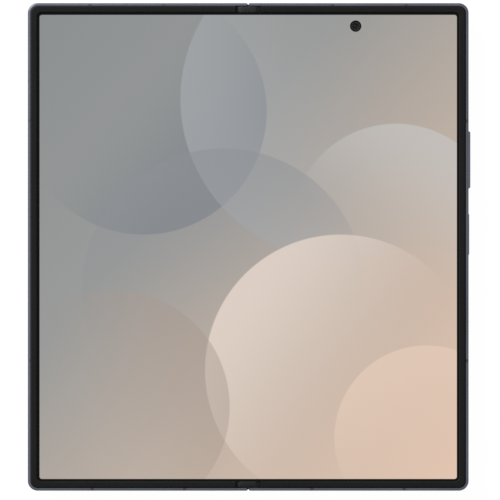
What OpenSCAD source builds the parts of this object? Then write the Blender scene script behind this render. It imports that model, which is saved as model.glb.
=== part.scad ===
// Book-style folding smartphone, opened flat on its back with the inner screen up.
// X runs across both halves (keys on +X), Y to the top of the phone, Z out of the screen.
// The hinge line is x = 0.  Heights inside the phone are counted from the back plane.

/* [Body] */
// Width of the opened phone, over both halves
body_w = 143.2; // [130:0.1:150]
// Height of the phone
body_h = 158.4; // [150:0.1:165]
// Thickness of one half, back glass to screen border
body_t = 4.2; // [4.2:0.1:5]
// Radius of the outer corners, seen from the front
corner_r = 3.2; // [3:0.1:5]
// Thickness of the metal rim
rim_t = 1.5; // [1.4:0.05:1.7]
// Rounding of the rim's outer edges
edge_r = 0.7; // [0.4:0.05:0.9]
// Thickness of the back glass
glass_t = 0.5; // [0.4:0.05:0.6]
// Thickness of the metal plate under the screen
plate_t = 0.4; // [0.3:0.05:0.5]

/* [Screen] */
// Thickness of the folding screen
screen_t = 0.7; // [0.5:0.05:0.8]
// How far the soft border stands above the screen
border_rise = 0.3; // [0.2:0.05:0.4]
// Metal rim left showing round the border
rim_show = 0.85; // [0.75:0.05:1.2]
// Width of the soft border round the screen
border_w = 2.25; // [2:0.05:2.5]
// Radius of the soft border's inner corners
border_r = 1.4; // [1:0.1:2.2]
// Half width of the strip that bends
bend_half = 5; // [4.8:0.1:6]
// Diameter of the camera hole in the screen
punch_d = 3.7; // [3:0.1:4]

/* [Hinge] */
// Height of each half's pivot line above its back plane
pivot_h = 3.0; // [2.9:0.05:3.1]
// Gap between the two screen borders when the phone is shut
shut_gap = 0.5; // [0.4:0.05:0.8]
// Half of the seam between the two opened halves
seam_half = 0.1; // [0.05:0.01:0.15]
// Wall of the hinge cover
cover_t = 0.35; // [0.3:0.01:0.4]
// Width of each arc rail
rail_w = 5; // [4:0.1:7]
// Thickness of each arc rail
rail_t = 0.5; // [0.4:0.02:0.55]
// Distance between neighbouring gear shafts
gear_pitch = 1.4; // [1.36:0.01:1.42]
// Face width of the gears
gear_w = 2.4; // [2:0.1:3.5]
// Diameter of the gear pins
pin_d = 0.6; // [0.5:0.02:0.64]
// Depth of the notch where the two rims meet
notch = 0.42; // [0.2:0.02:0.5]

/* [Cameras] */
// Height of the camera island above the back
island_h = 1.8; // [1.4:0.1:2.2]
// Width of the camera island
island_w = 18.6; // [17.6:0.1:20]
// Height of each lens ring above the island
ring_h = 1.0; // [0.8:0.05:1.2]
// Diameter of each lens ring
ring_d = 14.4; // [13.6:0.1:15]
// Distance between neighbouring lenses
lens_pitch = 17.5; // [16:0.1:18]

/* [Keys and ports] */
// Length of the volume key
volume_l = 18.7; // [14:0.1:22]
// How far the volume key stands out of the rim
volume_out = 0.6; // [0.4:0.05:0.8]
// Length of the side key
side_l = 13.4; // [10:0.1:15]
// How far the side key stands out of the rim
side_out = 0.24; // [0.22:0.01:0.4]
// Thickness of both keys
key_t = 1.5; // [1.3:0.05:1.55]
// Width of the charging socket's opening
socket_w = 8.4; // [8.34:0.01:8.6]
// Height of the charging socket's opening
socket_h = 2.48; // [2.44:0.01:2.5]
// Width of the card tray's face
tray_w = 13.8; // [13.4:0.1:15]
// Width of the plastic breaks in the rim
break_w = 1.1; // [0.6:0.05:1.5]

/* [Fits] */
// Clearance round parts that slide
slide_gap = 0.1; // [0.06:0.01:0.12]
// Radial clearance of arc rails and gear pins
run_gap = 0.05; // [0.03:0.005:0.06]
// Seam round glass and panels
seam = 0.1; // [0.05:0.01:0.15]

/* [Hidden] */
$fn = 48;

// ---- outline of one half, heights counted from its back plane
half_w = body_w / 2;
top_y = body_h / 2;
back_z = island_h + ring_h;
rim_h = body_t - border_rise;
screen_z = rim_h - screen_t;
plate_z = screen_z - plate_t;
glass_in = rim_t + seam;
ledge_w = 0.8;
ledge_t = 0.4;
break_in_x = [44.2, 20.2];
bottom_break_in_x = [50.9, 20.9];
break_in_y = [38.3, 42.2];
hole_d = 1.2;
hole_z = 1.9;
hole_step = 2.2;

// ---- hinge
pivot_x = body_t - pivot_h + shut_gap / 2;
cover_r = pivot_h - glass_t - run_gap * 2;
cover_in_r = cover_r - cover_t;
block_r = cover_in_r - run_gap;
wall_top = cover_r - 0.15;
cover_half = 3.8;
block_half = 3.3;
spine_plate_t = 0.2;
block_top = screen_z - spine_plate_t;
end_wall = 0.8;
end_gap = 0.1;
thin_rim = 0.84;
lap_z = 0.7;
lap_t = 0.6;
lap_x = 0.3;
lap_root = 0.2;
lap_gap = 0.1;
bay_half = cover_half + 0.5;
cover_end = top_y - thin_rim - end_gap;
cap_half = 3.1;
cap_deep = 3.0;
cap_in = top_y - cap_deep;
cap_rise = 0.85;
cap_slope = 0.5;
cap_foot = cover_half;
cap_foot_rise = 0.5;
seal_r = cover_r + 0.1;
seal_t = 0.16;
seal_low = 1.2;
seal_foot = 2.6;
seal_in = cap_in - 0.05;
spine_half = 2.3;
spine_end = cap_in - 0.2;

// ---- arc rails, angles measured from +X towards the back
rail_from_end = 21.2;
rail_y = [rail_from_end - top_y, 0, top_y - rail_from_end];
rail_out = block_r - 0.4;
rail_in = rail_out - rail_t;
rail_lead = 60;
rail_tail = 150;
block_wall = 1;
arm_low = 1.7;
arm_t = 0.5;
foot_x = 9.4;
foot_l = 3.6;
foot_side = 2;
foot_low = 1.5;
screw_d = 1.2;
screw_head_d = 2;
screw_head_t = 0.35;

// ---- gears that keep the two halves in step
gear_y = [rail_y[0] / 2, rail_y[2] / 2];
gear_teeth = 8;
gear_r = gear_pitch / 2;
gear_z = 2.1;
gear_x = gear_pitch * 1.5;
gear_add = 0.145;
gear_ded = 0.215;
tooth_gap = 0.09;
pressure = 27;
gear_arm_t = 0.35;
gear_arm_end = 11.6;
side_plate_t = 0.8;
side_plate_gap = 0.1;
guide_low = 1.2;

// ---- wing plates that tip away from the screen as the phone shuts
wing_t = 0.15;
wing_near = spine_half + 0.2;
wing_far = 9;
wing_end = spine_end;
wing_cut = 4.8;
wing_tip = 9;

// ---- camera island on the back of the right half
island_in = 6.2;
island_x = half_w - island_in - island_w / 2;
island_y = top_y - island_in - island_w / 2 - lens_pitch;
island_edge = 0.4;
island_flange = 0.9;
flange_t = 0.3;
ring_wall = 1.4;
lens_t = 0.6;
lens_deep = 0.3;
module_w = 10.4;
module_gap = 0.3;
flash_out = 5;
flash_x = island_x - island_w / 2 - flash_out;
flash_y = island_y + lens_pitch / 2;
flash_d = 5;

// ---- inner camera behind the hole in the screen, outer camera behind the cover glass
punch_in_x = 36.7;
punch_in_y = 7.5;
punch_x = half_w - punch_in_x;
punch_y = top_y - punch_in_y;
cover_cam_x = -half_w / 2;
cover_cam_in = 7.2;
cover_cam_y = top_y - cover_cam_in;
cover_cam_r = 1.8;
front_cam_w = 6.4;
front_cam_room = 0.4;

// ---- keys in the right edge
volume_in = 50.9;
volume_y = top_y - volume_in;
side_in = 75.15;
side_y = top_y - side_in;
key_z = 1.95;
key_flange = 0.7;
key_flange_t = 0.6;
key_travel = 0.25;
key_edge = 0.25;
switch_t = 0.5;
switch_r = 0.65;
switch_off = 6;
strip_t = 0.25;
strip_over = 4.3;

// ---- socket in the bottom edge, tray in the left half's bottom edge
socket_x = half_w / 2;
socket_z = 1.86;
socket_wall = 0.1;
socket_l = 7.3;
socket_set = 0.3;
tongue_w = 6.69;
tongue_t = 0.7;
tongue_l = 4.5;
tray_x = -half_w / 2;
tray_z = 2.0;
tray_t = 1.5;
tray_l = 19;
tray_plate_t = 0.8;
tray_guide_t = 0.2;
pick_d = 0.9;
pick_in = 2.2;
card_w = 8.8;
card_l = 12.3;
card_y = 4.5;
card_ledge = 0.8;

// ---- inside the halves
part_gap = 0.3;
battery_x = 14;
battery_side = 6.6;
battery_w = half_w - battery_x - battery_side;
battery_right_in = [24.7, 71.7];
battery_left_in = [45.2, 29.2];
battery_lip = 4;
battery_lip_t = 0.6;
board_t = 0.5;
board_z = plate_z - part_gap - board_t;
board_side = 3.4;
board_top_in = 4.2;
board_low_in = 68.2;
board_y = top_y - board_low_in;
shield_in = 1;
shield_gap = 4.8;
flash_gap = 9.3;
shield_l = [22, 26];
shield_off = [2, 27];
coil_t = 0.3;
coil_r = 18;
coil_in_r = 9;
panel_t = 0.3;
socket_board_w = 20;
socket_board_l = 8;
speaker_w = 13;
speaker_l = 12;
speaker_side = 14.6;
speaker_in = 9.7;
mic_off = 9;
motor_w = 8;
motor_l = 12;
motor_in = 11.2;
sub_side = 9;
sub_near = 18.6;
sub_low_in = 25.2;
sub_top_in = 5.2;
left_speaker_side = 11.6;
left_speaker_w = 12;
earpiece_side = 5.6;
earpiece_w = 5;
left_sound_l = 14;
left_speaker_in = 10.7;
earpiece_in = 13.2;

// ================================================================ shared shapes

// Lift a part from its half's back plane to its place above the lens rings.
module placed()
    translate([0, 0, back_z]) children();

// Extrude a shape drawn in the X-Z plane along Y, centred on y.
module along_y(length, y = 0)
    translate([0, y, 0]) rotate([90, 0, 0])
        linear_extrude(height = length, center = true) children();

// Run a rim section, drawn as (distance in from the edge, height), round one half.
module rim_run(x_in) {
    side_l = body_h - 2 * corner_r;
    for (m = [0, 1]) mirror([0, m, 0]) {
        translate([x_in, 0, 0]) rotate([90, 0, 90])
            linear_extrude(height = half_w - corner_r - x_in)
                translate([top_y, 0]) mirror([1, 0]) children();
        translate([half_w - corner_r, top_y - corner_r, 0])
            rotate_extrude(angle = 90) translate([corner_r, 0]) mirror([1, 0]) children();
    }
    along_y(side_l) translate([half_w, 0]) mirror([1, 0]) children();
}

// Plan of a plate that fills one half, set in from the edge, with two round corners.
module half_plan(x_in, inset, r) {
    x_out = half_w - inset;
    y_out = top_y - inset;
    translate([x_in, -y_out]) square([x_out - r - x_in, 2 * y_out]);
    translate([x_in, -y_out + r]) square([x_out - x_in, 2 * (y_out - r)]);
    for (y = [-1, 1]) translate([x_out - r, y * (y_out - r)]) circle(r);
}

// Flat plate between two heights.
module slab(z, t)
    translate([0, 0, z]) linear_extrude(height = t) children();

// Box from its middle in X and Y and its lowest height.
module block(x, y, z, size)
    translate([x - size[0] / 2, y - size[1] / 2, z]) cube(size);

// Upright cylinder from its lowest height.
module post(x, y, z, r, h)
    translate([x, y, z]) cylinder(r = r, h = h);

// Slot with round ends, seen along the slot: w over its ends, h high.
module stadium(w, h) {
    square([w - h, h], center = true);
    for (s = [-1, 1]) translate([s * (w - h) / 2, 0]) circle(h / 2);
}

// Ring sector about a half's pivot line, from one angle below +X to another.
module pivot_sector(r0, r1, a0, a1) {
    far = 3 * r1;
    mid = (a0 + a1) / 2;
    intersection() {
        translate([pivot_x, pivot_h]) difference() {
            circle(r1);
            circle(r0);
        }
        translate([pivot_x, pivot_h]) polygon([[0, 0],
            [far * cos(a0), -far * sin(a0)],
            [far * cos(mid), -far * sin(mid)],
            [far * cos(a1), -far * sin(a1)]]);
    }
}

// ================================================================ hinge spine

// Section of the spine: a flat keel between two arcs struck from the pivot lines.
module spine_section(r, top, half) {
    low = pivot_h - r;
    intersection() {
        union() {
            translate([-pivot_x, low]) square([2 * pivot_x, top - low]);
            for (s = [-1, 1]) translate([s * pivot_x, pivot_h]) circle(r);
        }
        translate([-half, low]) square([2 * half, top - low]);
    }
}

module hinge_cover() {
    color("#3b3f4b") placed() {
        difference() {
            along_y(2 * cover_end) spine_section(cover_r, wall_top, cover_half);
            along_y(2 * (cover_end - end_wall))
                spine_section(cover_in_r, wall_top + 1, cover_half);
            for (y = rail_y) block(0, y, arm_low - run_gap, [9, rail_w + 0.6, 3]);
            for (y = gear_y) block(0, y, arm_low - run_gap, [9, gear_w + 0.6, 3]);
        }
        for (s = [-1, 1]) along_y(end_wall, s * (cover_end - end_wall / 2))
            spine_section(cover_r, screen_z, cover_half);
    }
}

// Soft caps that close the screen border over the ends of the spine: a raised pad
// between two low shoulders that reach under the ends of the borders.
module hinge_end_caps() {
    cap_l = cover_end - 0.04 - cap_in;
    shoulder_z = screen_z + cap_foot_rise;
    pad_z = screen_z + cap_rise;
    color("#2a2a2c") placed() for (s = [-1, 1])
        along_y(cap_l, s * (cap_in + cap_l / 2))
            polygon([[-cap_foot, screen_z], [cap_foot, screen_z],
                [cap_foot, shoulder_z], [cap_half, shoulder_z],
                [cap_half - cap_slope, pad_z], [cap_slope - cap_half, pad_z],
                [-cap_half, shoulder_z], [-cap_foot, shoulder_z]]);
}

// Blocks whose curved slots carry the arc rails; the core is held by the end walls.
module rail_blocks() {
    slot_w = rail_w + 2 * run_gap;
    color("#8a8c90") placed() for (y = rail_y) difference() {
        along_y(slot_w + 2 * block_wall, y) spine_section(block_r, block_top, block_half);
        along_y(slot_w, y) for (m = [0, 1]) mirror([m, 0]) {
            pivot_sector(rail_in - run_gap, rail_out + run_gap, 4, rail_tail + 6);
            pivot_sector(rail_in - run_gap, 5, -60, rail_lead + 3);
        }
    }
}

module gear_side_plates() {
    color("#8a8c90") placed() for (y = gear_y, s = [-1, 1])
        along_y(side_plate_t, y + s * (gear_w / 2 + side_plate_gap + side_plate_t / 2))
            difference() {
                spine_section(block_r, block_top, block_half);
                for (i = [-1.5, -0.5, 0.5, 1.5])
                    translate([i * gear_pitch, gear_z]) circle(pin_d / 2 + 0.01);
            }
}

module gear_pins() {
    pin_l = gear_w + 2 * (side_plate_gap + side_plate_t);
    color("#c9ccd2") placed() for (y = gear_y, i = [-1.5, -0.5, 0.5, 1.5])
        along_y(pin_l, y) translate([i * gear_pitch, gear_z]) circle(pin_d / 2);
}

// Flat strip under the fold line, notched where the gear arms swing past it.
module spine_plate() {
    color("#b9bcc2") placed() difference() {
        slab(block_top, spine_plate_t)
            square([2 * spine_half, 2 * spine_end], center = true);
        for (y = gear_y, s = [-1, 1])
            block(s * spine_half, y, 0, [2 * (spine_half - 1.95), gear_w + 0.4, body_t]);
    }
}

// The strip of screen that bends; it is rigid here and lies flat.
module screen_bend() {
    color("#b7b4b0") placed() slab(screen_z, screen_t)
        square([2 * bend_half, 2 * (cap_in - 0.1)], center = true);
}

// ================================================================ gears and arms

// Points of one tooth flank, an involute from the root to the tip.
function involute_at(base, r) = let (a = acos(min(1, base / r))) tan(a) * 180 / PI - a;
function flank(side, shift) = let (
        base = gear_r * cos(pressure),
        half = 90 / gear_teeth - tooth_gap / 2 / gear_r * 180 / PI / 2,
        root = gear_r - gear_ded,
        tip = gear_r + gear_add)
    [for (i = [0 : 4]) let (
            r = max(root, base) + (tip - max(root, base)) * i / 4,
            a = side * (half + involute_at(base, gear_r) - involute_at(base, r)) + shift)
        [r * cos(a), r * sin(a)]];
function reversed(list) = [for (i = [len(list) - 1 : -1 : 0]) list[i]];

// Spur gear outline; turned puts a gap where an unturned gear has a tooth.
module gear_outline(turned) {
    step = 360 / gear_teeth;
    root = gear_r - gear_ded;
    circle(root);
    for (i = [0 : gear_teeth - 1])
        let (a = i * step + (turned ? step / 2 : 0))
            polygon(concat([[0, 0]], flank(-1, a), reversed(flank(1, a))));
}

module gear_arms(side, turned) {
    color("#a9adb5") placed() for (y = gear_y)
        along_y(gear_w, y) difference() {
            union() {
                translate([side * gear_x, gear_z]) gear_outline(turned);
                mirror([side > 0 ? 0 : 1, 0]) translate([gear_x, arm_low])
                    square([gear_arm_end - gear_x, gear_arm_t]);
            }
            translate([side * gear_x, gear_z]) circle(pin_d / 2 + run_gap);
        }
}

module idler_gears(side, turned) {
    color("#c8a95a") placed() for (y = gear_y)
        along_y(gear_w, y) translate([side * gear_x / 3, gear_z]) difference() {
            gear_outline(turned);
            circle(pin_d / 2 + run_gap);
        }
}

module gear_arms_right() gear_arms(1, false);
module idler_gears_right() idler_gears(1, true);
module idler_gears_left() idler_gears(-1, false);
module gear_arms_left() gear_arms(-1, true);

// ================================================================ wing plates

// Thin plate whose far edge is rounded about the line it tips on.
module wing_plate() {
    color("#b9bcc2") placed() difference() {
        along_y(2 * wing_end) {
            translate([wing_near, screen_z - wing_t]) square([wing_far - wing_near, wing_t]);
            intersection() {
                translate([wing_far, screen_z]) circle(wing_t);
                translate([wing_far, screen_z]) polygon([[0, 0],
                    [cos(wing_tip), -sin(wing_tip)], [0, -1]]);
            }
        }
        for (y = rail_y)
            block(wing_near, y, 0, [2 * (wing_cut - wing_near), rail_w + 1.4, body_t]);
        for (y = gear_y)
            block(wing_near, y, 0, [2 * (wing_cut - wing_near), gear_w + 1.4, body_t]);
    }
}

module wing_plate_right() wing_plate();
module wing_plate_left() mirror([1, 0, 0]) wing_plate();

// ================================================================ frames

// Rim section with rounded outer edges and a ledge that the back glass is glued to.
module rim_section() {
    translate([edge_r, 0]) square([rim_t - edge_r, rim_h]);
    translate([0, edge_r]) square([rim_t, rim_h - 2 * edge_r]);
    translate([edge_r, edge_r]) circle(edge_r);
    translate([edge_r, rim_h - edge_r]) circle(edge_r);
    translate([rim_t / 2, glass_t]) square([rim_t / 2 + ledge_w, ledge_t]);
}

// The part of a rim that a plastic break replaces.
module break_cuts(grow) {
    w = break_w + 2 * grow;
    for (d = break_in_x) block(half_w - d, top_y, -1, [w, 2 * rim_t, body_t + 2]);
    for (d = bottom_break_in_x) block(half_w - d, -top_y, -1, [w, 2 * rim_t, body_t + 2]);
    for (y = [top_y - break_in_y[0], break_in_y[1] - top_y])
        block(half_w, y, -1, [2 * rim_t, w, body_t + 2]);
}

// Everything a half's metal loses at the fold: room for the spine, and a curved
// face above the pivot line so that the two halves roll past each other.
module fold_clearance() {
    room = cover_end + end_gap;
    block(bay_half / 2 - 1, 0, glass_t, [bay_half + 2, 2 * room, body_t]);
    difference() {
        translate([-1, -top_y - 1, pivot_h]) cube([1 + pivot_x, body_h + 2, body_t]);
        along_y(body_h + 4) translate([pivot_x, pivot_h]) circle(pivot_x - seam_half);
    }
    for (m = [0, 1]) mirror([0, m, 0])
        translate([0, 0, -1]) linear_extrude(height = body_t + 2)
            polygon([[-1, top_y + 1], [-1, top_y - notch], [seam_half, top_y - notch],
                [seam_half + notch, top_y], [seam_half + notch, top_y + 1]]);
}

// Small lip on one half that laps into a slot in the other, so the seam between the
// two rims lets no light through; grow widens it for the slot.
module seam_lap(grow) {
    lap_l = thin_rim - notch;
    for (end = [-1, 1])
        translate([-seam_half - lap_root, end * (top_y - thin_rim + lap_l / 2) - lap_l / 2 - grow,
            lap_z - grow])
            cube([seam_half + lap_root + lap_x + grow, lap_l + 2 * grow, lap_t + 2 * grow]);
}

// Metal of one half: rim, plate under the screen and strip beside the fold.
module half_frame() {
    difference() {
        union() {
            rim_run(seam_half) rim_section();
            slab(plate_z, plate_t) half_plan(wing_far + 0.2, rim_t - 0.2, corner_r - rim_t);
            translate([seam_half, -top_y + thin_rim / 2, 0])
                cube([1.2, body_h - thin_rim, glass_t]);
        }
        fold_clearance();
        break_cuts(0);
        bracket_holes();
    }
}

module frame_right() {
    speaker_x = half_w - speaker_side - 2 * hole_step;
    color("#4a4e59") placed() difference() {
        half_frame();
        seam_lap(lap_gap);
        block(half_w, volume_y, key_z - key_t / 2 - slide_gap,
            [2 * rim_t + 1, volume_l + 2 * slide_gap, key_t + 2 * slide_gap]);
        block(half_w, side_y, key_z - key_t / 2 - slide_gap,
            [2 * rim_t + 1, side_l + 2 * slide_gap, key_t + 2 * slide_gap]);
        socket_room(slide_gap / 2);
        post(punch_x, punch_y, 0, punch_d / 2 + 0.8, body_t);
        for (i = [0 : 4]) speaker_hole(speaker_x + hole_step * i, -1);
        speaker_hole(socket_x - mic_off, -1);
        speaker_hole(socket_x + mic_off / 2, 1);
    }
}

module frame_left() {
    speaker_x = left_speaker_side - half_w - 2 * hole_step;
    color("#4a4e59") placed() difference() {
        mirror([1, 0, 0]) half_frame();
        block(tray_x, -top_y, tray_z - tray_t / 2 - slide_gap,
            [tray_w + 2 * slide_gap, 2 * rim_t + 2 * ledge_w + 1, tray_t + 2 * slide_gap]);
        for (i = [0 : 4], end = [-1, 1]) speaker_hole(speaker_x + hole_step * i, end);
    }
    color("#4a4e59") placed() seam_lap(0);
}

// Round hole through the top (1) or bottom (-1) rim.
module speaker_hole(x, end)
    translate([x, end * top_y, hole_z]) rotate([90, 0, 0])
        cylinder(d = hole_d, h = 4 * rim_t, center = true);

module rim_breaks() {
    intersection() {
        rim_run(bay_half) rim_section();
        break_cuts(0);
    }
}

module rim_breaks_right() color("#3a3d45") placed() rim_breaks();
module rim_breaks_left() color("#3a3d45") placed() mirror([1, 0, 0]) rim_breaks();

// ================================================================ screen and border

// Soft border: a rounded outer band run round the rim, filled in to the picture.
module screen_border() {
    border_x = 4.15;
    band_w = 0.9;
    round_r = border_rise / 2;
    translate([0, 0, rim_h]) {
        rim_run(border_x) translate([rim_show, 0]) {
            square([band_w, border_rise - round_r]);
            translate([round_r, 0]) square([band_w - round_r, border_rise]);
            translate([round_r, border_rise - round_r]) circle(round_r);
        }
        difference() {
            slab(0, border_rise)
                half_plan(border_x, rim_show + band_w / 2, corner_r - rim_show - band_w / 2);
            slab(-1, border_rise + 2) half_plan(0, rim_show + border_w, border_r);
        }
    }
}

module screen_border_right() color("#232325") placed() screen_border();
module screen_border_left() color("#232325") placed() mirror([1, 0, 0]) screen_border();

// Soft lips bonded under the border's ends: each wraps a little way round the end of
// the hinge cover and shuts the gap beside it.
module fold_seals() {
    seal_l = cover_end - seal_in;
    for (s = [-1, 1]) along_y(seal_l, s * (seal_in + seal_l / 2)) difference() {
        union() {
            intersection() {
                translate([pivot_x, pivot_h]) circle(seal_r + seal_t);
                translate([pivot_x, seal_low]) square([bay_half - pivot_x, pivot_h - seal_low]);
            }
            translate([cover_half, seal_foot]) square([bay_half - cover_half, rim_h - seal_foot]);
        }
        translate([pivot_x, pivot_h]) circle(seal_r);
    }
}

module fold_seals_right() color("#202022") placed() fold_seals();
module fold_seals_left() color("#202022") placed() mirror([1, 0, 0]) fold_seals();

module screen_panel()
    slab(screen_z, screen_t) half_plan(bend_half, glass_in, corner_r - glass_in);

module screen_right() {
    color("#d8c3b4") placed() difference() {
        screen_panel();
        post(punch_x, punch_y, 0, punch_d / 2, body_t);
    }
}

module screen_left() color("#a9adac") placed() mirror([1, 0, 0]) screen_panel();

// ================================================================ brackets in each half

// One arc rail with its foot, screwed up into the plate under the screen.
module rail_bracket(y) {
    along_y(rail_w, y) {
        pivot_sector(rail_in, rail_out, rail_lead, rail_tail);
        difference() {
            translate([pivot_x + rail_in * cos(rail_lead), arm_low])
                square([foot_x + 0.4 - pivot_x - rail_in * cos(rail_lead), arm_t]);
            translate([pivot_x, pivot_h]) circle(rail_in);
        }
    }
    block(foot_x + foot_l / 2, y, foot_low,
        [foot_l, rail_w + 2 * foot_side, plate_z - foot_low]);
}

// Guide that a gear arm slides in as the two halves fold.
module arm_guide(y) {
    guide_w = gear_w + 2 * foot_side + 2;
    difference() {
        block(foot_x + foot_l / 2, y, guide_low, [foot_l, guide_w, plate_z - guide_low]);
        block(foot_x + foot_l / 2, y, arm_low - part_gap,
            [foot_l + 2, gear_w + 2 * slide_gap, gear_arm_t + 2 * part_gap + 0.05]);
    }
}

module bracket_screw_places() {
    for (y = rail_y, s = [-1, 1])
        translate([foot_x + foot_l / 2, y + s * (rail_w / 2 + foot_side / 2 - 0.3), 0])
            children();
}

module guide_screw_places() {
    for (y = gear_y, s = [-1, 1])
        translate([foot_x + foot_l / 2, y + s * (gear_w / 2 + foot_side / 2 + 0.6), 0])
            children();
}

module bracket_holes() {
    bracket_screw_places() cylinder(d = screw_d + 0.04, h = screen_z - 0.05);
    guide_screw_places() cylinder(d = screw_d + 0.04, h = screen_z - 0.05);
}

module rail_brackets() {
    difference() {
        for (y = rail_y) rail_bracket(y);
        bracket_screw_places() cylinder(d = screw_d + 0.1, h = body_t);
    }
    difference() {
        for (y = gear_y) arm_guide(y);
        guide_screw_places() cylinder(d = screw_d + 0.1, h = body_t);
    }
}

module rail_brackets_right() color("#9a9da3") placed() rail_brackets();
module rail_brackets_left() color("#9a9da3") placed() mirror([1, 0, 0]) rail_brackets();

module screw(low) {
    shank = screen_z - 0.1 - low;
    translate([0, 0, low]) cylinder(d = screw_d, h = shank);
    translate([0, 0, low - screw_head_t]) difference() {
        cylinder(d = screw_head_d, h = screw_head_t);
        translate([0, 0, -0.01]) cylinder(d = 0.8, h = screw_head_t / 2, $fn = 6);
    }
}

module bracket_screws() {
    bracket_screw_places() screw(foot_low);
    guide_screw_places() screw(guide_low);
}

module bracket_screws_right() color("#55585f") placed() bracket_screws();
module bracket_screws_left() color("#55585f") placed() mirror([1, 0, 0]) bracket_screws();

// ================================================================ back of the right half

module island_plan(grow) {
    r = island_w / 2 + grow;
    square([2 * r, 2 * lens_pitch], center = true);
    for (s = [-1, 1]) translate([0, s * lens_pitch]) circle(r);
}

module back_glass() {
    color("#3c404c") placed() difference() {
        slab(0, glass_t) half_plan(seam_half + 1.2 + seam, glass_in, corner_r - glass_in);
        translate([island_x, island_y, -1]) linear_extrude(height = 3) island_plan(seam);
        post(flash_x, flash_y, -1, flash_d / 2 + seam, 3);
    }
}

// Section of the island's rounded edge, revolved at the ends and run between them.
module island_section() {
    r = island_w / 2;
    translate([0, -island_h]) square([r - island_edge, island_h + glass_t]);
    translate([0, island_edge - island_h]) square([r, island_h + glass_t - island_edge]);
    translate([r - island_edge, island_edge - island_h]) circle(island_edge);
    translate([0, glass_t]) square([r + island_flange, flange_t]);
}

module lens_places()
    for (i = [-1, 0, 1]) translate([island_x, island_y + i * lens_pitch, 0]) children();

module camera_island() {
    barrel_r = module_w / 2;
    color("#454956") placed() difference() {
        translate([island_x, island_y, 0]) {
            for (s = [-1, 1]) translate([0, s * lens_pitch, 0])
                rotate_extrude() island_section();
            for (m = [0, 1]) mirror([m, 0, 0]) along_y(2 * lens_pitch) island_section();
        }
        lens_places() translate([0, 0, -island_h - 1]) cylinder(r = barrel_r, h = 5);
    }
}

module lens_rings() {
    r = ring_d / 2;
    edge = 0.25;
    color("#5d616d") placed() lens_places() translate([0, 0, -island_h - ring_h])
        rotate_extrude() difference() {
            union() {
                translate([0, edge]) square([r, ring_h - edge]);
                square([r - edge, ring_h]);
                translate([r - edge, edge]) circle(edge);
            }
            translate([-1, -1]) square([r - ring_wall + 1, ring_h + 0.9]);
            translate([-1, -1]) square([module_w / 2 + 1, ring_h + 2]);
        }
}

module lens_glasses() {
    color("#101318") placed() lens_places()
        translate([0, 0, -island_h - ring_h + lens_deep])
            cylinder(r = ring_d / 2 - ring_wall - run_gap, h = lens_t);
}

module camera_modules() {
    barrel_r = module_w / 2 - module_gap;
    barrel_top = island_h - part_gap / 2;
    color("#202226") placed() lens_places() {
        difference() {
            translate([0, 0, -barrel_top]) cylinder(r = barrel_r, h = barrel_top + 1);
            translate([0, 0, -barrel_top - 1]) cylinder(r = barrel_r - 1.2, h = 1.5);
            translate([0, 0, -barrel_top - 1]) cylinder(r = barrel_r - 2.4, h = 2.1);
        }
        translate([0, 0, glass_t + flange_t + 0.1])
            linear_extrude(height = plate_z - glass_t - flange_t - 0.1 - part_gap / 2)
                square([module_w, module_w], center = true);
    }
}

module flash() {
    color("#e8e2c8") placed() {
        post(flash_x, flash_y, 0.1, flash_d / 2, glass_t);
        post(flash_x, flash_y, glass_t, flash_d / 2 + 0.6, 0.5);
    }
}

// ================================================================ inside the right half

module inner_camera() {
    color("#15171b") placed() {
        difference() {
            post(punch_x, punch_y, 1.2, punch_d / 2 - 0.15, rim_h - 0.15 - 1.2);
            post(punch_x, punch_y, rim_h - 0.4, punch_d / 2 - 0.7, 1);
        }
        block(punch_x, punch_y, 0.8, [front_cam_w, front_cam_w, 1.6]);
    }
}

// Pouch cell from its lowest height, held in from the bottom and top of the phone by
// the two distances; a thinner lip at its lower end is where the cell is sealed.
module battery(z, ends) {
    length = body_h - ends[0] - ends[1];
    lip_z = plate_z - seam - battery_lip_t;
    translate([battery_x, ends[0] - top_y, 0]) difference() {
        translate([0, 0, z]) cube([battery_w, length, plate_z - seam - z]);
        translate([-1, -1, lip_z]) cube([battery_w + 2, 1 + battery_lip, 2]);
    }
}

module battery_right() color("#26282c") placed()
    battery(glass_t + coil_t + 0.15, battery_right_in);
module battery_left() color("#26282c") placed() mirror([1, 0, 0])
    battery(glass_t + 2 * panel_t + 0.2, battery_left_in);

// Main circuit board, cut round the camera block, the inner camera and the flash.
module main_board() {
    color("#1f4a38") placed() difference() {
        slab(board_z, board_t) translate([battery_x, board_y])
            square([half_w - battery_x - board_side, board_low_in - board_top_in]);
        block(island_x, island_y, 0, [island_w + 2, 2 * lens_pitch + island_w + 2, body_t]);
        block(punch_x, punch_y, 0,
            [front_cam_w + 2 * front_cam_room, front_cam_w + 2 * front_cam_room, body_t]);
        post(flash_x, flash_y, 0, flash_d / 2 + 1, board_z - 0.1);
    }
}

module board_shields() {
    shield_x = battery_x + shield_in;
    shield_w = [island_x - island_w / 2 - shield_gap - shield_x,
        flash_x - flash_d / 2 - flash_gap - shield_x];
    color("#a7a9ad") placed() difference() {
        for (i = [0, 1])
            translate([shield_x, board_y + shield_off[i], glass_t + part_gap])
                cube([shield_w[i], shield_l[i], board_z - glass_t - part_gap]);
        translate([battery_x + 10, board_y, 0])
            cube([0.6, board_low_in, glass_t + part_gap + 0.2]);
    }
}

module charging_coil() {
    coil_y = (battery_right_in[0] - battery_right_in[1]) / 2;
    color("#b87b4a") placed() translate([battery_x + battery_w / 2, coil_y, glass_t])
        difference() {
            cylinder(r = coil_r, h = coil_t);
            translate([0, 0, -1]) cylinder(r = coil_in_r, h = coil_t + 2);
        }
}

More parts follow.
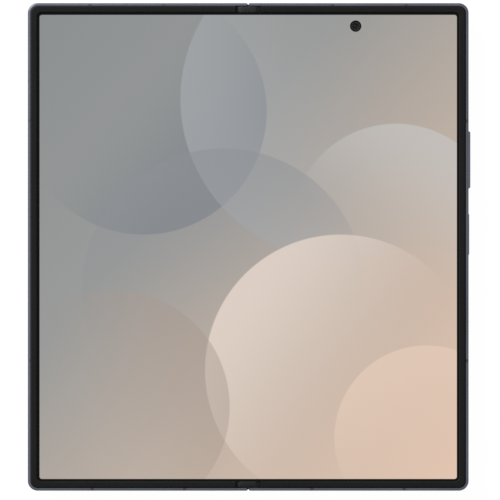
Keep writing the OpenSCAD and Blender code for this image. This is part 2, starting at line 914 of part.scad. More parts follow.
// Room for the charging socket through the bottom rim and the plate above it.
module socket_room(grow) {
    translate([socket_x, -top_y, socket_z]) rotate([90, 0, 0])
        linear_extrude(height = 2 * socket_l + 2, center = true)
            stadium(socket_w + 2 * (socket_wall + grow), socket_h + 2 * (socket_wall + grow));
}

module charging_socket() {
    color("#6c6f76") placed() translate([socket_x, -top_y + socket_set, socket_z])
        rotate([-90, 0, 0]) {
            difference() {
                linear_extrude(height = socket_l)
                    stadium(socket_w + 2 * socket_wall, socket_h + 2 * socket_wall);
                translate([0, 0, -1]) linear_extrude(height = socket_l - 0.4 + 1)
                    stadium(socket_w, socket_h);
            }
            translate([-tongue_w / 2, -tongue_t / 2, socket_l - 0.4 - tongue_l])
                cube([tongue_w, tongue_t, tongue_l + 0.2]);
        }
}

module socket_board() {
    color("#1f4a38") placed() slab(board_z, board_t)
        translate([socket_x - socket_board_w / 2, -top_y + socket_set + socket_l + seam])
            square([socket_board_w, socket_board_l]);
}

module speaker_right() {
    x = half_w - speaker_side;
    y = speaker_in - top_y;
    color("#303236") placed() difference() {
        block(x, y, glass_t + part_gap,
            [speaker_w, speaker_l, plate_z - glass_t - 2 * part_gap]);
        block(x, y, glass_t, [speaker_w - 4, speaker_l - 4, part_gap + 0.3]);
    }
}

module vibration_motor() {
    x = battery_x + motor_w / 2 + 0.5;
    y = motor_in - top_y;
    color("#b9bcc2") placed() difference() {
        block(x, y, glass_t + part_gap, [motor_w, motor_l, plate_z - glass_t - 2 * part_gap]);
        block(x, y, glass_t, [motor_w - 3, motor_l + 0.1, part_gap + 0.15]);
    }
}

// ================================================================ keys

// Key bar with round ends, and a wider flange that stops it falling out.
module key(y, length, out) {
    along = length - 2 * key_edge;
    x_flange = half_w - rim_t - key_flange_t;
    low = key_z - key_t / 2;
    translate([x_flange, y - length / 2, low])
        cube([rim_t + key_flange_t + out - key_edge / 2, length, key_t]);
    translate([x_flange, y - along / 2, low + key_edge / 2])
        cube([rim_t + key_flange_t + out, along, key_t - key_edge]);
    translate([x_flange, y - length / 2 - key_flange, low])
        cube([key_flange_t, length + 2 * key_flange, key_t]);
}

module volume_key() color("#4a4e59") placed() key(volume_y, volume_l, volume_out);
module side_key() color("#41454f") placed() key(side_y, side_l, side_out);

// Thin strip of dome switches behind both keys, one pair and one single.
module key_switches() {
    x_face = half_w - rim_t - key_flange_t - key_travel - 0.05;
    strip_low = side_y - switch_r - strip_over;
    strip_high = volume_y + switch_off + switch_r + strip_over;
    color("#8f7a3c") placed() {
        translate([x_face - switch_t, strip_low, key_z - 0.7])
            cube([strip_t, strip_high - strip_low, 1.4]);
        for (y = [volume_y - switch_off, volume_y + switch_off, side_y])
            translate([x_face - switch_t, y, key_z]) rotate([0, 90, 0])
                cylinder(r = switch_r, h = switch_t);
    }
}

// ================================================================ left half

module cover_glass() {
    color("#16181c") placed() mirror([1, 0, 0])
        slab(0, glass_t) half_plan(seam_half + 1.2 + seam, glass_in, corner_r - glass_in);
}

module cover_panel() {
    panel_in = rim_t + ledge_w + part_gap;
    color("#0d0e10") placed() mirror([1, 0, 0]) difference() {
        slab(glass_t, panel_t) half_plan(bay_half + 1, panel_in, 0.6);
        post(-cover_cam_x, cover_cam_y, 0, cover_cam_r + 0.2, body_t);
    }
}

module cover_camera() {
    color("#15171b") placed() {
        difference() {
            post(cover_cam_x, cover_cam_y, glass_t + 0.05, cover_cam_r, 1.6);
            post(cover_cam_x, cover_cam_y, glass_t, 1.1, 0.5);
        }
        block(cover_cam_x, cover_cam_y, 1.4, [front_cam_w, front_cam_w, plate_z - 1.4 - seam]);
    }
}

module sub_board() {
    color("#1f4a38") placed() difference() {
        slab(board_z, board_t) translate([sub_side - half_w, top_y - sub_low_in])
            square([half_w - sub_side - sub_near, sub_low_in - sub_top_in]);
        block(cover_cam_x, cover_cam_y, 0,
            [front_cam_w + 2 * front_cam_room, front_cam_w + 2 * front_cam_room, body_t]);
    }
}

module speaker_left() {
    color("#303236") placed()
        block(left_speaker_side - half_w, left_speaker_in - top_y, glass_t + 2 * panel_t,
            [left_speaker_w, left_sound_l, plate_z - glass_t - 2 * panel_t - part_gap / 2]);
}

module earpiece() {
    color("#303236") placed()
        block(earpiece_side - half_w, top_y - earpiece_in, glass_t + 2 * panel_t,
            [earpiece_w, left_sound_l, plate_z - glass_t - 2 * panel_t - part_gap / 2]);
}

// Sheet-metal channel that the card tray slides in.
module tray_guide() {
    in_w = tray_w - 2 + 2 * slide_gap;
    in_h = tray_plate_t + 2 * slide_gap;
    guide_l = tray_l - rim_t - 0.5;
    low = tray_z - tray_t / 2 + 0.1;
    color("#9a9da3") placed() translate([tray_x, -top_y + rim_t + ledge_w + 0.3, low])
        difference() {
            translate([-in_w / 2 - tray_guide_t, 0, -slide_gap - tray_guide_t])
                cube([in_w + 2 * tray_guide_t, guide_l, in_h + 2 * tray_guide_t]);
            translate([-in_w / 2, -1, -slide_gap]) cube([in_w, guide_l + 0.5, in_h]);
        }
}

// Tray: a face that fills the slot in the rim, and a plate with a window for the card.
module card_tray() {
    face_t = 0.9;
    low = tray_z - tray_t / 2 + 0.1;
    color("#5a5e69") placed() translate([tray_x, -top_y, 0]) difference() {
        union() {
            translate([-tray_w / 2, 0.03, tray_z - tray_t / 2]) cube([tray_w, face_t, tray_t]);
            translate([-tray_w / 2 + 1, face_t / 2, low])
                cube([tray_w - 2, tray_l - face_t, tray_plate_t]);
        }
        translate([-card_w / 2, card_y, low + 0.15]) cube([card_w, card_l, tray_t]);
        translate([card_ledge - card_w / 2, card_y + card_ledge, -1])
            cube([card_w - 2 * card_ledge, card_l - 2 * card_ledge, 5]);
        translate([tray_w / 2 - pick_in, face_t - 0.01, tray_z + 0.35]) rotate([90, 0, 0])
            cylinder(d = pick_d, h = 3);
    }
}

// ================================================================ what is drawn

hinge_cover();
hinge_end_caps();
rail_blocks();
gear_side_plates();
gear_pins();
spine_plate();
screen_bend();
gear_arms_right();
gear_arms_left();
idler_gears_right();
idler_gears_left();
wing_plate_right();
wing_plate_left();
frame_right();
frame_left();
rim_breaks_right();
rim_breaks_left();
screen_border_right();
screen_border_left();
fold_seals_right();
fold_seals_left();
screen_right();
screen_left();
rail_brackets_right();
rail_brackets_left();
bracket_screws_right();
bracket_screws_left();
back_glass();
camera_island();
lens_rings();
lens_glasses();
camera_modules();
flash();
inner_camera();
battery_right();
main_board();
board_shields();
charging_coil();
charging_socket();
socket_board();
speaker_right();
vibration_motor();
key_switches();
volume_key();
side_key();
cover_glass();
cover_panel();
cover_camera();
battery_left();
sub_board();
speaker_left();
earpiece();
tray_guide();
card_tray();
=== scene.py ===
import math

import bmesh
import bpy
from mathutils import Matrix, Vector


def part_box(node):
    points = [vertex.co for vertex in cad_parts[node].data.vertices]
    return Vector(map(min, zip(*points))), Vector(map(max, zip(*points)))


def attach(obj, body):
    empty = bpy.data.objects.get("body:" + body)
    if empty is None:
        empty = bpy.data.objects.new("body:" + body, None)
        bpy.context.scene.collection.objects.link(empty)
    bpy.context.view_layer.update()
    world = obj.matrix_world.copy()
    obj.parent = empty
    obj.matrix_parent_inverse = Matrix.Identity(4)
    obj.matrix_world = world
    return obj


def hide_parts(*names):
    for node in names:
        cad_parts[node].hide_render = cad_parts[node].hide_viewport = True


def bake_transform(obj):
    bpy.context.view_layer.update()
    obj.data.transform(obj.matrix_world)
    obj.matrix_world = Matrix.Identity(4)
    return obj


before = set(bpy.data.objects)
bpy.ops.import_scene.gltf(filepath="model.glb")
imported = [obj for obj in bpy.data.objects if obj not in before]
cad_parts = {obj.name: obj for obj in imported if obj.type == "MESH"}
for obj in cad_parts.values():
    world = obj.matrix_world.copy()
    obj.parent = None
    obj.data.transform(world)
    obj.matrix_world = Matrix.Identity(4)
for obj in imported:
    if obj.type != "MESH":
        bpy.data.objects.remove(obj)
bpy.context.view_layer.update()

# ---------------------------------------------------------------- hinge cover
# The curved channel that closes the back of the hinge and carries everything in it.
# Extruded aluminium with milled ends, fine blasted and anodised the same dark blue grey
# as the rims.
mm = 0.001


def paint(r, g, b):
    """Linear colour of a shade that is written as 0 to 255."""
    parts = [c / 255 for c in (r, g, b)]
    parts = [c / 12.92 if c <= 0.04045 else ((c + 0.055) / 1.055) ** 2.4 for c in parts]
    return (*parts, 1.0)


def new_finish(name, metallic=0.0, roughness=0.5, specular=0.5, coat=0.0, coat_roughness=0.05):
    """A material and its shader, ready for the colour and bump of one surface."""
    mat = bpy.data.materials.new(name)
    mat.use_nodes = True
    skin = mat.node_tree.nodes["Principled BSDF"]
    skin.inputs["Metallic"].default_value = metallic
    skin.inputs["Roughness"].default_value = roughness
    skin.inputs["Specular IOR Level"].default_value = specular
    skin.inputs["Coat Weight"].default_value = coat
    skin.inputs["Coat Roughness"].default_value = coat_roughness
    return mat, skin


def plug(mat, socket, value):
    """Wires a socket into another, or sets it to a plain value."""
    if isinstance(value, bpy.types.NodeSocket):
        mat.node_tree.links.new(value, socket)
    else:
        socket.default_value = value


def add(mat, kind, inputs=(), **settings):
    """Adds one node; inputs go by name or number, settings are the node's own."""
    made = mat.node_tree.nodes.new("ShaderNode" + kind)
    for key, value in settings.items():
        setattr(made, key, value)
    for key, value in dict(inputs).items():
        plug(mat, made.inputs[key], value)
    return made


def combined(mat, operation, a, b):
    """Two values put together by one sum."""
    return add(mat, "Math", {0: a, 1: b}, operation=operation).outputs[0]


def spread(mat, value, low, high, to_low=0.0, to_high=1.0, shape="LINEAR"):
    """Carries a value from one range to another, held at both ends."""
    return add(mat, "MapRange", {"Value": value, "From Min": low, "From Max": high,
               "To Min": to_low, "To Max": to_high}, interpolation_type=shape).outputs[0]


def stretched(mat, grain, to_low=0.0, to_high=1.0):
    """Carries a noise, which mostly lies between 0.3 and 0.7, to another range."""
    return spread(mat, grain, 0.3, 0.7, to_low, to_high)


def mixed(mat, share, a, b):
    """Two colours mixed by a share."""
    return add(mat, "Mix", {0: share, 6: a, 7: b}, data_type="RGBA").outputs[2]


def place_on(mat, stretch=(1.0, 1.0, 1.0), middle=(0.0, 0.0, 0.0)):
    """Place on the piece in millimetres from a middle, stretched along each axis."""
    spot = add(mat, "TexCoord").outputs["Object"]
    scale = [s / mm for s in stretch]
    offset = [-m * s for m, s in zip(middle, stretch)]
    return add(mat, "Mapping", {"Vector": spot, "Scale": scale, "Location": offset}).outputs[0]


def noise(mat, spot, per_mm, detail=2.0, rough=0.5):
    """Noise of so many lumps to the millimetre."""
    return add(mat, "TexNoise", {"Vector": spot, "Scale": per_mm, "Detail": detail,
               "Roughness": rough}).outputs["Fac"]


def edge_line(mat, radius_mm):
    """The normal with sharp edges rounded, and where those edges are, from 0 to 1."""
    soft = add(mat, "Bevel", {"Radius": radius_mm * mm}, samples=4).outputs[0]
    flat = add(mat, "NewGeometry").outputs["Normal"]
    facing = add(mat, "VectorMath", {0: soft, 1: flat}, operation="DOT_PRODUCT").outputs["Value"]
    return soft, spread(mat, facing, 0.995, 0.80)


def bump(mat, skin, height, depth_mm, normal=None, strength=1.0):
    """Raises the surface by a height pattern of a given depth."""
    made = add(mat, "Bump", {"Height": height, "Distance": depth_mm * mm, "Strength": strength})
    if normal is not None:
        plug(mat, made.inputs["Normal"], normal)
    plug(mat, skin.inputs["Normal"], made.outputs[0])


def surface(mat, skin, colour, grain=None, roughness=()):
    """Gives a finish its colour, and a roughness that follows a noise."""
    plug(mat, skin.inputs["Base Color"], colour)
    if grain is not None:
        plug(mat, skin.inputs["Roughness"], stretched(mat, grain, *roughness))


def anodised(name, light, dark, worn, roughness=(0.30, 0.42), edge_mm=0.06):
    """Blasted, anodised aluminium: slow drift in tone, fine grain, edges rubbed paler."""
    mat, skin = new_finish(name, metallic=1.0)
    spot = place_on(mat)
    drift = spread(mat, noise(mat, spot, 0.05, 3), 0.35, 0.65)
    grain = noise(mat, spot, 20, 2)
    soft, edge = edge_line(mat, edge_mm)
    handling = spread(mat, noise(mat, spot, 0.6, 3), 0.35, 0.7, 0.25, 0.9)
    tone = mixed(mat, drift, dark, light)
    speckle = mixed(mat, stretched(mat, grain, 0.0, 0.16), tone, worn)
    rubbed = mixed(mat, combined(mat, "MULTIPLY", edge, handling), speckle, worn)
    surface(mat, skin, rubbed, grain, roughness)
    bump(mat, skin, grain, 0.004, soft, 0.35)
    return mat


def dress(nodes, finish):
    """Gives carried CAD nodes their finish."""
    for node in nodes:
        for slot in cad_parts[node].material_slots:
            slot.material = finish


spine_metal = anodised("spine_metal", paint(88, 92, 103), paint(74, 78, 88), paint(150, 154, 164),
                       roughness=(0.22, 0.32))
dress(["hinge_cover"], spine_metal)

# ---------------------------------------------------------------- rail blocks, gears and arms
# Inside the cover: three blocks with curved slots for the arc rails, and two gear sets
# that keep the halves in step. Sintered and ground steel; the middle gears are brass.
# Pins are pressed into the side plates, and the arms turn on them.


def ground_steel(name, light, dark, along="y", lines_mm=0.08, roughness=(0.24, 0.40)):
    """Bare ground steel with fine lines along one axis, a trace of oil and bright edges."""
    mat, skin = new_finish(name, metallic=1.0)
    stretch = {"x": (0.04, 1.0, 1.0), "y": (1.0, 0.04, 1.0), "z": (1.0, 1.0, 0.04)}[along]
    lines = noise(mat, place_on(mat, stretch), 1 / lines_mm, 3, 0.6)
    oil = spread(mat, noise(mat, place_on(mat), 0.35, 3), 0.45, 0.7)
    soft, edge = edge_line(mat, 0.05)
    tone = mixed(mat, stretched(mat, lines), dark, light)
    oiled = mixed(mat, combined(mat, "MULTIPLY", oil, 0.35), tone, paint(96, 92, 84))
    surface(mat, skin, mixed(mat, edge, oiled, paint(226, 228, 232)), lines, roughness)
    bump(mat, skin, lines, 0.006, soft, 0.5)
    return mat


block_steel = ground_steel("block_steel", paint(176, 178, 182), paint(140, 142, 147))
gear_steel = ground_steel("gear_steel", paint(196, 198, 202), paint(158, 160, 165), along="x")
pin_steel = ground_steel("pin_steel", paint(222, 224, 228), paint(188, 190, 195), lines_mm=0.03,
                         roughness=(0.12, 0.22))
dress(["rail_blocks", "gear_side_plates"], block_steel)
dress(["gear_arms_right", "gear_arms_left"], gear_steel)
dress(["gear_pins"], pin_steel)

cut_brass, brass_skin = new_finish("cut_brass", metallic=1.0)
hob_lines = noise(cut_brass, place_on(cut_brass, (1.0, 0.08, 1.0)), 14, 3)
tarnish = spread(cut_brass, noise(cut_brass, place_on(cut_brass), 1.2, 4), 0.4, 0.75)
brass_soft, brass_edge = edge_line(cut_brass, 0.03)
fresh = mixed(cut_brass, combined(cut_brass, "MULTIPLY", tarnish, 0.5), paint(206, 172, 98),
              paint(146, 112, 58))
surface(cut_brass, brass_skin, mixed(cut_brass, brass_edge, fresh, paint(238, 214, 150)),
        hob_lines, (0.2, 0.36))
bump(cut_brass, brass_skin, hob_lines, 0.005, brass_soft, 0.5)
dress(["idler_gears_right", "idler_gears_left"], cut_brass)

# ---------------------------------------------------------------- plates under the fold
# A thin strip glued on the hinge's blocks and one wing plate in each half hold the bending
# part of the screen flat. The wings tip away as the phone shuts. Rolled stainless strip,
# etched to shape.
rolled_strip = ground_steel("rolled_strip", paint(204, 206, 210), paint(178, 180, 185),
                            lines_mm=0.12, roughness=(0.28, 0.38))
dress(["spine_plate", "wing_plate_right", "wing_plate_left"], rolled_strip)

# ---------------------------------------------------------------- brackets and their screws
# Arc rails and arm guides, metal-injected and tumbled, screwed up into each half's plate
# with small zinc-plated screws. The card tray's guide is tumbled steel as well.
tumbled_steel = ground_steel("tumbled_steel", paint(168, 170, 175), paint(132, 134, 139),
                             along="z", lines_mm=0.2, roughness=(0.34, 0.5))
dress(["rail_brackets_right", "rail_brackets_left", "tray_guide"], tumbled_steel)

zinc_plate = ground_steel("zinc_plate", paint(118, 121, 128), paint(92, 95, 102), along="x",
                          lines_mm=0.05)
dress(["bracket_screws_right", "bracket_screws_left"], zinc_plate)

# ---------------------------------------------------------------- rims
# Each half's frame: the rim, the plate under the screen and the strip beside the fold are
# one machined aluminium piece, fine blasted and anodised. Short plastic breaks are moulded
# into gaps in the rim and blasted with it, so they show only as slightly darker lines.
frame_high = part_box("frame_right")[1]
half_w, top_y = frame_high.x / mm, frame_high.y / mm
rim_t = 1.5
back_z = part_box("back_glass")[0].z / mm

rim_metal = anodised("rim_metal", paint(83, 86, 96), paint(75, 78, 88), paint(122, 125, 134),
                     roughness=(0.40, 0.52))
dress(["frame_right", "frame_left"], rim_metal)

break_resin, break_skin = new_finish("break_resin", roughness=0.45, specular=0.4)
break_spot = place_on(break_resin)
break_grain = noise(break_resin, break_spot, 18, 2)
break_soft, break_edge = edge_line(break_resin, 0.05)
break_tone = mixed(break_resin, stretched(break_resin, break_grain), paint(54, 57, 66),
                   paint(66, 69, 78))
surface(break_resin, break_skin,
        mixed(break_resin, combined(break_resin, "MULTIPLY", break_edge, 0.4), break_tone,
              paint(96, 99, 108)),
        break_grain, (0.4, 0.55))
bump(break_resin, break_skin, break_grain, 0.004, break_soft, 0.4)
dress(["rim_breaks_right", "rim_breaks_left"], break_resin)

# ---------------------------------------------------------------- sound openings
# Behind each row of drilled holes in the rim sits a strip of fine woven steel gauze, its
# edges pressed thin, glued inside the rim.
hole_z = back_z + 1.9
gauze_t, gauze_h, gauze_edge, glue_t = 0.12, 2.2, 0.03, 0.02
# Name: (middle along the edge, 1 at the top or -1 at the bottom, width, body)
gauze_rows = {"gauze_speaker_right": (57.0, -1, 11.0, "right_half"),
              "gauze_microphone": (26.8, -1, 2.4, "right_half"),
              "gauze_microphone_top": (40.3, 1, 2.4, "right_half"),
              "gauze_speaker_left": (-60.0, -1, 11.0, "left_half"),
              "gauze_earpiece": (-60.0, 1, 11.0, "left_half")}


def as_piece(name, mesh, finish, smooth_deg=None):
    """Puts a mesh in the scene as one piece, smooth but for edges sharper than an angle."""
    if smooth_deg:
        mesh.shade_smooth()
        mesh.set_sharp_from_angle(angle=math.radians(smooth_deg))
    mesh.materials.append(finish)
    piece = bpy.data.objects.new(name, mesh)
    bpy.context.scene.collection.objects.link(piece)
    return piece


def make_piece(name, points, faces, finish, smooth_deg=None):
    """A mesh from points in millimetres, with outward faces and its finish."""
    same_spot = 1e-8
    mesh = bpy.data.meshes.new(name)
    mesh.from_pydata([[c * mm for c in p] for p in points], [], faces)
    work = bmesh.new()
    work.from_mesh(mesh)
    bmesh.ops.remove_doubles(work, verts=work.verts, dist=same_spot)
    bmesh.ops.recalc_face_normals(work, faces=work.faces)
    work.to_mesh(mesh)
    work.free()
    return as_piece(name, mesh, finish, smooth_deg)


def tube_faces(rings, around):
    """Faces between rings of so many points each, and over the first and last ring."""
    last = (rings - 1) * around
    faces = [(r + i, r + (i + 1) % around, r + around + (i + 1) % around, r + around + i)
             for r in range(0, last, around) for i in range(around)]
    return faces + [tuple(range(around)), tuple(range(last, last + around))]


def pillow_strip(name, middle, size, edge, finish):
    """A flat strip whose four long edges are chamfered."""
    cx, cy, cz = middle
    w, d, h = (s / 2 for s in size)
    points = []
    for x, inset in ((-w, edge), (-w + edge, 0), (w - edge, 0), (w, edge)):
        for y, z in ((-d + inset, -h + inset), (d - inset, -h + inset), (d - inset, h - inset),
                     (-d + inset, h - inset)):
            points.append((cx + x, cy + y, cz + z))
    return make_piece(name, points, tube_faces(4, 4), finish)


gauze, gauze_skin = new_finish("gauze", metallic=0.6, roughness=0.5)
wires_up, wires_across = (add(gauze, "TexWave", {"Vector": place_on(gauze), "Scale": 3.2},
                              bands_direction=way).outputs["Fac"] for way in "XZ")
weave = combined(gauze, "MAXIMUM", wires_up, wires_across)
surface(gauze, gauze_skin,
        mixed(gauze, spread(gauze, weave, 0.4, 0.9), paint(8, 8, 9), paint(58, 60, 64)))
bump(gauze, gauze_skin, weave, 0.05)

for name, (x, end, width, body) in gauze_rows.items():
    y = end * (top_y - rim_t - gauze_t / 2 - glue_t)
    strip = pillow_strip(name, (x, y, hole_z), (width, gauze_t, gauze_h), gauze_edge, gauze)
    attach(strip, body)

# ---------------------------------------------------------------- keys
# Volume key and side key: milled aluminium bars, anodised with the rim, with chamfered
# ends and softened edges. The side key's face is polished smooth for the finger sensor.
key_metal = anodised("key_metal", paint(88, 92, 102), paint(78, 81, 91), paint(158, 161, 170),
                     roughness=(0.26, 0.36))
sensor_metal = anodised("sensor_metal", paint(80, 83, 94), paint(72, 75, 85),
                        paint(150, 153, 163), roughness=(0.16, 0.24))


def key_bar(name, node, finish, slope, edge):
    """A key inside its CAD solid: flange behind, bar in front with sloped ends."""
    low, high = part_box(node)
    x0, x1 = low.x / mm, high.x / mm
    y0, y1 = low.y / mm, high.y / mm
    z0, z1 = low.z / mm, high.z / mm
    flange_t, lip, corner = 0.6, 0.7, 0.35
    cut = corner * 0.3
    # Distance out, inset at the ends, inset at the long sides
    rows = [(x0, 0.0, 0.0), (x0 + flange_t, 0.0, 0.0), (x0 + flange_t, lip, 0.0),
            (x1 - slope, lip, 0.0), (x1 - edge, lip + slope - edge, 0.04),
            (x1 - edge * 0.3, lip + slope - edge * 0.3, 0.1),
            (x1, lip + slope + edge * 0.4, 0.1 + edge)]
    points = []
    for x, inset, shrink in rows:
        ya, yb, za, zb = y0 + inset, y1 - inset, z0 + shrink, z1 - shrink
        for y, z in ((ya, za + corner), (ya + cut, za + cut), (ya + corner, za),
                     (yb - corner, za), (yb - cut, za + cut), (yb, za + corner),
                     (yb, zb - corner), (yb - cut, zb - cut), (yb - corner, zb),
                     (ya + corner, zb), (ya + cut, zb - cut), (ya, zb - corner)):
            points.append((x, y, z))
    around = len(points) // len(rows)
    return make_piece(name, points, tube_faces(len(rows), around), finish, 40)


volume_bar = key_bar("volume_bar", "volume_key", key_metal, 0.42, 0.12)
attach(volume_bar, "volume_key")
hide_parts("volume_key")
side_bar = key_bar("side_bar", "side_key", sensor_metal, 0.2, 0.08)
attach(side_bar, "side_key")
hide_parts("side_key")

# ---------------------------------------------------------------- parts inside the halves
# Boards in dark green solder mask, tinned shield cans, two pouch cells in black film, a
# wound copper coil, and black moulded modules, glued or screwed to the frames. They only
# show if the phone is taken apart.
solder_mask, mask_skin = new_finish("solder_mask", roughness=0.3, specular=0.5, coat=0.3)
board_spot = place_on(solder_mask)
tracks = add(solder_mask, "TexVoronoi", {"Vector": board_spot, "Scale": 1.6}, distance="CHEBYCHEV",
             feature="F2").outputs["Distance"]
track_line = spread(solder_mask, tracks, 0.62, 0.66)
pads = add(solder_mask, "TexVoronoi", {"Vector": board_spot, "Scale": 0.9},
           distance="CHEBYCHEV").outputs["Distance"]
pad_spot = spread(solder_mask, pads, 0.10, 0.13, 1.0, 0.0)
mask_tone = mixed(solder_mask, track_line, paint(18, 58, 42), paint(34, 84, 60))
surface(solder_mask, mask_skin, mixed(solder_mask, pad_spot, mask_tone, paint(196, 164, 92)))
plug(solder_mask, mask_skin.inputs["Metallic"], pad_spot)
bump(solder_mask, mask_skin, combined(solder_mask, "ADD", track_line, pad_spot), 0.03)
dress(["main_board", "sub_board", "socket_board"], solder_mask)

tinned_can = ground_steel("tinned_can", paint(186, 187, 188), paint(164, 165, 168), along="x",
                          lines_mm=0.3, roughness=(0.3, 0.42))
dress(["board_shields"], tinned_can)
motor_case = ground_steel("motor_case", paint(168, 170, 174), paint(140, 142, 147),
                          lines_mm=0.15, roughness=(0.22, 0.32))
dress(["vibration_motor"], motor_case)

cell_film, cell_skin = new_finish("cell_film", roughness=0.42, coat=0.2)
film_spot = place_on(cell_film)
crinkle = noise(cell_film, film_spot, 0.5, 4, 0.65)
film_grain = noise(cell_film, film_spot, 12, 2)
surface(cell_film, cell_skin,
        mixed(cell_film, spread(cell_film, crinkle, 0.35, 0.65), paint(30, 31, 34),
              paint(46, 47, 51)),
        film_grain, (0.32, 0.5))
bump(cell_film, cell_skin, crinkle, 0.12)
dress(["battery_right", "battery_left"], cell_film)


def middle_of(node):
    """Middle of a CAD node's box, in millimetres."""
    return [(a + b) / 2 / mm for a, b in zip(*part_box(node))]


def length_of(mat, spot):
    """How far a place lies from its middle."""
    return add(mat, "VectorMath", {0: spot}, operation="LENGTH").outputs["Value"]


wire_r = 0.3
wound_copper, copper_skin = new_finish("wound_copper", metallic=1.0, coat=0.6)
coil_spot = place_on(wound_copper, (1.0, 1.0, 0.0), middle_of("charging_coil"))
turns = combined(wound_copper, "PINGPONG", length_of(wound_copper, coil_spot), wire_r)
# Painted shade and highlight: each turn is painted lighter on its crown and darker in the grooves
# between turns.
turn_tone = spread(wound_copper, turns, 0.0, wire_r)
surface(wound_copper, copper_skin,
        mixed(wound_copper, turn_tone, paint(112, 58, 32), paint(206, 128, 84)),
        noise(wound_copper, coil_spot, 2, 2), (0.22, 0.34))
bump(wound_copper, copper_skin, turn_tone, 0.12)
dress(["charging_coil"], wound_copper)


def moulded(name, light, dark, roughness, grain_mm, depth_mm, specular=0.5, edge_share=0.35):
    """Black moulded plastic with a fine spark-eroded grain and slightly paler edges."""
    mat, skin = new_finish(name, specular=specular)
    spot = place_on(mat)
    grain = noise(mat, spot, 1 / grain_mm, 3, 0.6)
    drift = spread(mat, noise(mat, spot, 0.08, 2), 0.35, 0.65)
    soft, edge = edge_line(mat, 0.06)
    tone = mixed(mat, drift, dark, light)
    surface(mat, skin,
            mixed(mat, combined(mat, "MULTIPLY", edge, edge_share), tone, paint(74, 75, 78)),
            grain, roughness)
    bump(mat, skin, grain, depth_mm, soft, 0.6)
    return mat


module_black = moulded("module_black", paint(44, 45, 48), paint(32, 33, 36), (0.4, 0.56), 0.12,
                       0.01)
dress(["speaker_right", "speaker_left", "earpiece"], module_black)
camera_black = moulded("camera_black", paint(15, 15, 17), paint(9, 9, 11), (0.5, 0.7), 0.06,
                       0.004, 0.25)
dress(["camera_modules", "inner_camera", "cover_camera"], camera_black)

amber_film, amber_skin = new_finish("amber_film", roughness=0.3, coat=0.4)
film_lines = add(amber_film, "TexWave", {"Vector": place_on(amber_film), "Scale": 0.9},
                 bands_direction="Z").outputs["Fac"]
copper_track = spread(amber_film, film_lines, 0.55, 0.7)
surface(amber_film, amber_skin,
        mixed(amber_film, copper_track, paint(150, 96, 34), paint(188, 132, 70)))
bump(amber_film, amber_skin, copper_track, 0.02)
dress(["key_switches"], amber_film)

# ---------------------------------------------------------------- charging socket
# Deep-drawn steel shell in the bottom edge with a tongue inside. The tongue is black
# nylon; its gold-plated contacts lie flush on both faces, twelve to a side.
socket_shell = ground_steel("socket_shell", paint(128, 130, 135), paint(104, 106, 111),
                            lines_mm=0.06, roughness=(0.2, 0.32))
dress(["charging_socket"], socket_shell)
socket_x, _, socket_z = middle_of("charging_socket")
floor_t, tongue_w, tongue_l, tongue_t = 0.4, 6.69, 4.5, 0.7
sleeve_t, sleeve_l, sleeve_edge = 0.05, 4.3, 0.12
tongue_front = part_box("charging_socket")[1].y / mm - floor_t - tongue_l

tongue_sleeve = pillow_strip("tongue_sleeve",
                             (socket_x, tongue_front + sleeve_l / 2 - sleeve_t, socket_z),
                             (tongue_w + 2 * sleeve_t, sleeve_l, tongue_t + 2 * sleeve_t),
                             sleeve_edge, camera_black)
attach(tongue_sleeve, "right_half")

gold_plate, gold_skin = new_finish("gold_plate", metallic=1.0)
rubs = noise(gold_plate, place_on(gold_plate, (1.0, 0.1, 1.0)), 9, 3)
surface(gold_plate, gold_skin,
        mixed(gold_plate, stretched(gold_plate, rubs), paint(222, 182, 96), paint(242, 212, 136)),
        rubs, (0.16, 0.3))
bump(gold_plate, gold_skin, rubs, 0.003)

contact_w, contact_t, contact_l, contact_edge, contact_pitch = 0.25, 0.03, 3.2, 0.02, 0.5
power_start, signal_start, sunk = 0.5, 0.8, 0.01
points, faces = [], []
for side in (-1, 1):
    z_in = socket_z + side * (tongue_t / 2 + sleeve_t - sunk)
    z_out = z_in + side * contact_t
    for i in range(12):
        x = socket_x + (i - 5.5) * contact_pitch
        y = tongue_front + (power_start if i in (0, 3, 8, 11) else signal_start)
        w, n = contact_w / 2, len(points)
        for z, inset in ((z_in, 0.0), (z_out, contact_edge)):
            points += [(x - w + inset, y + inset, z), (x + w - inset, y + inset, z),
                       (x + w - inset, tongue_front + contact_l, z),
                       (x - w + inset, tongue_front + contact_l, z)]
        faces += [[n + corner for corner in face] for face in tube_faces(2, 4)]
socket_contacts = make_piece("socket_contacts", points, faces, gold_plate)
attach(socket_contacts, "right_half")

# ---------------------------------------------------------------- back glass
# One sheet of chemically strengthened glass over the back of the right half, satin etched
# outside and painted dark slate inside, its long edges ground round and polished. It is
# cut out for the camera block and the flash.


def ground_edges(name, node, finish, inner_gap=0.0):
    """A CAD sheet remade with its sharp edges ground round, its inner face set back a little."""
    same_spot, edge_mm, broad_mm2 = 1e-7, 0.16, 400.0
    mesh = bpy.data.meshes.new(name)
    work = bmesh.new()
    work.from_mesh(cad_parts[node].data)
    bmesh.ops.remove_doubles(work, verts=work.verts, dist=same_spot)
    bmesh.ops.dissolve_limit(work, angle_limit=math.radians(1.0), verts=work.verts,
                             edges=work.edges)
    sharp = [e for e in work.edges if e.is_manifold and e.calc_face_angle() > math.radians(50)]
    bmesh.ops.bevel(work, geom=sharp, offset=edge_mm * mm, segments=3, profile=0.5,
                    affect="EDGES", clamp_overlap=True)
    bmesh.ops.recalc_face_normals(work, faces=work.faces)
    middle = sum(v.co.z for v in work.verts) / len(work.verts)
    for v in work.verts:
        if v.co.z > middle:
            v.co.z -= inner_gap * mm
    work.edges.index_update()
    broad = [f for f in work.faces if f.calc_area() > broad_mm2 * mm * mm]
    broad_edges = {e.index for f in broad for e in f.edges}
    work.to_mesh(mesh)
    work.free()
    piece = as_piece(name, mesh, finish, 32)
    for edge in mesh.edges:
        if edge.index in broad_edges:
            edge.use_edge_sharp = True
    return piece


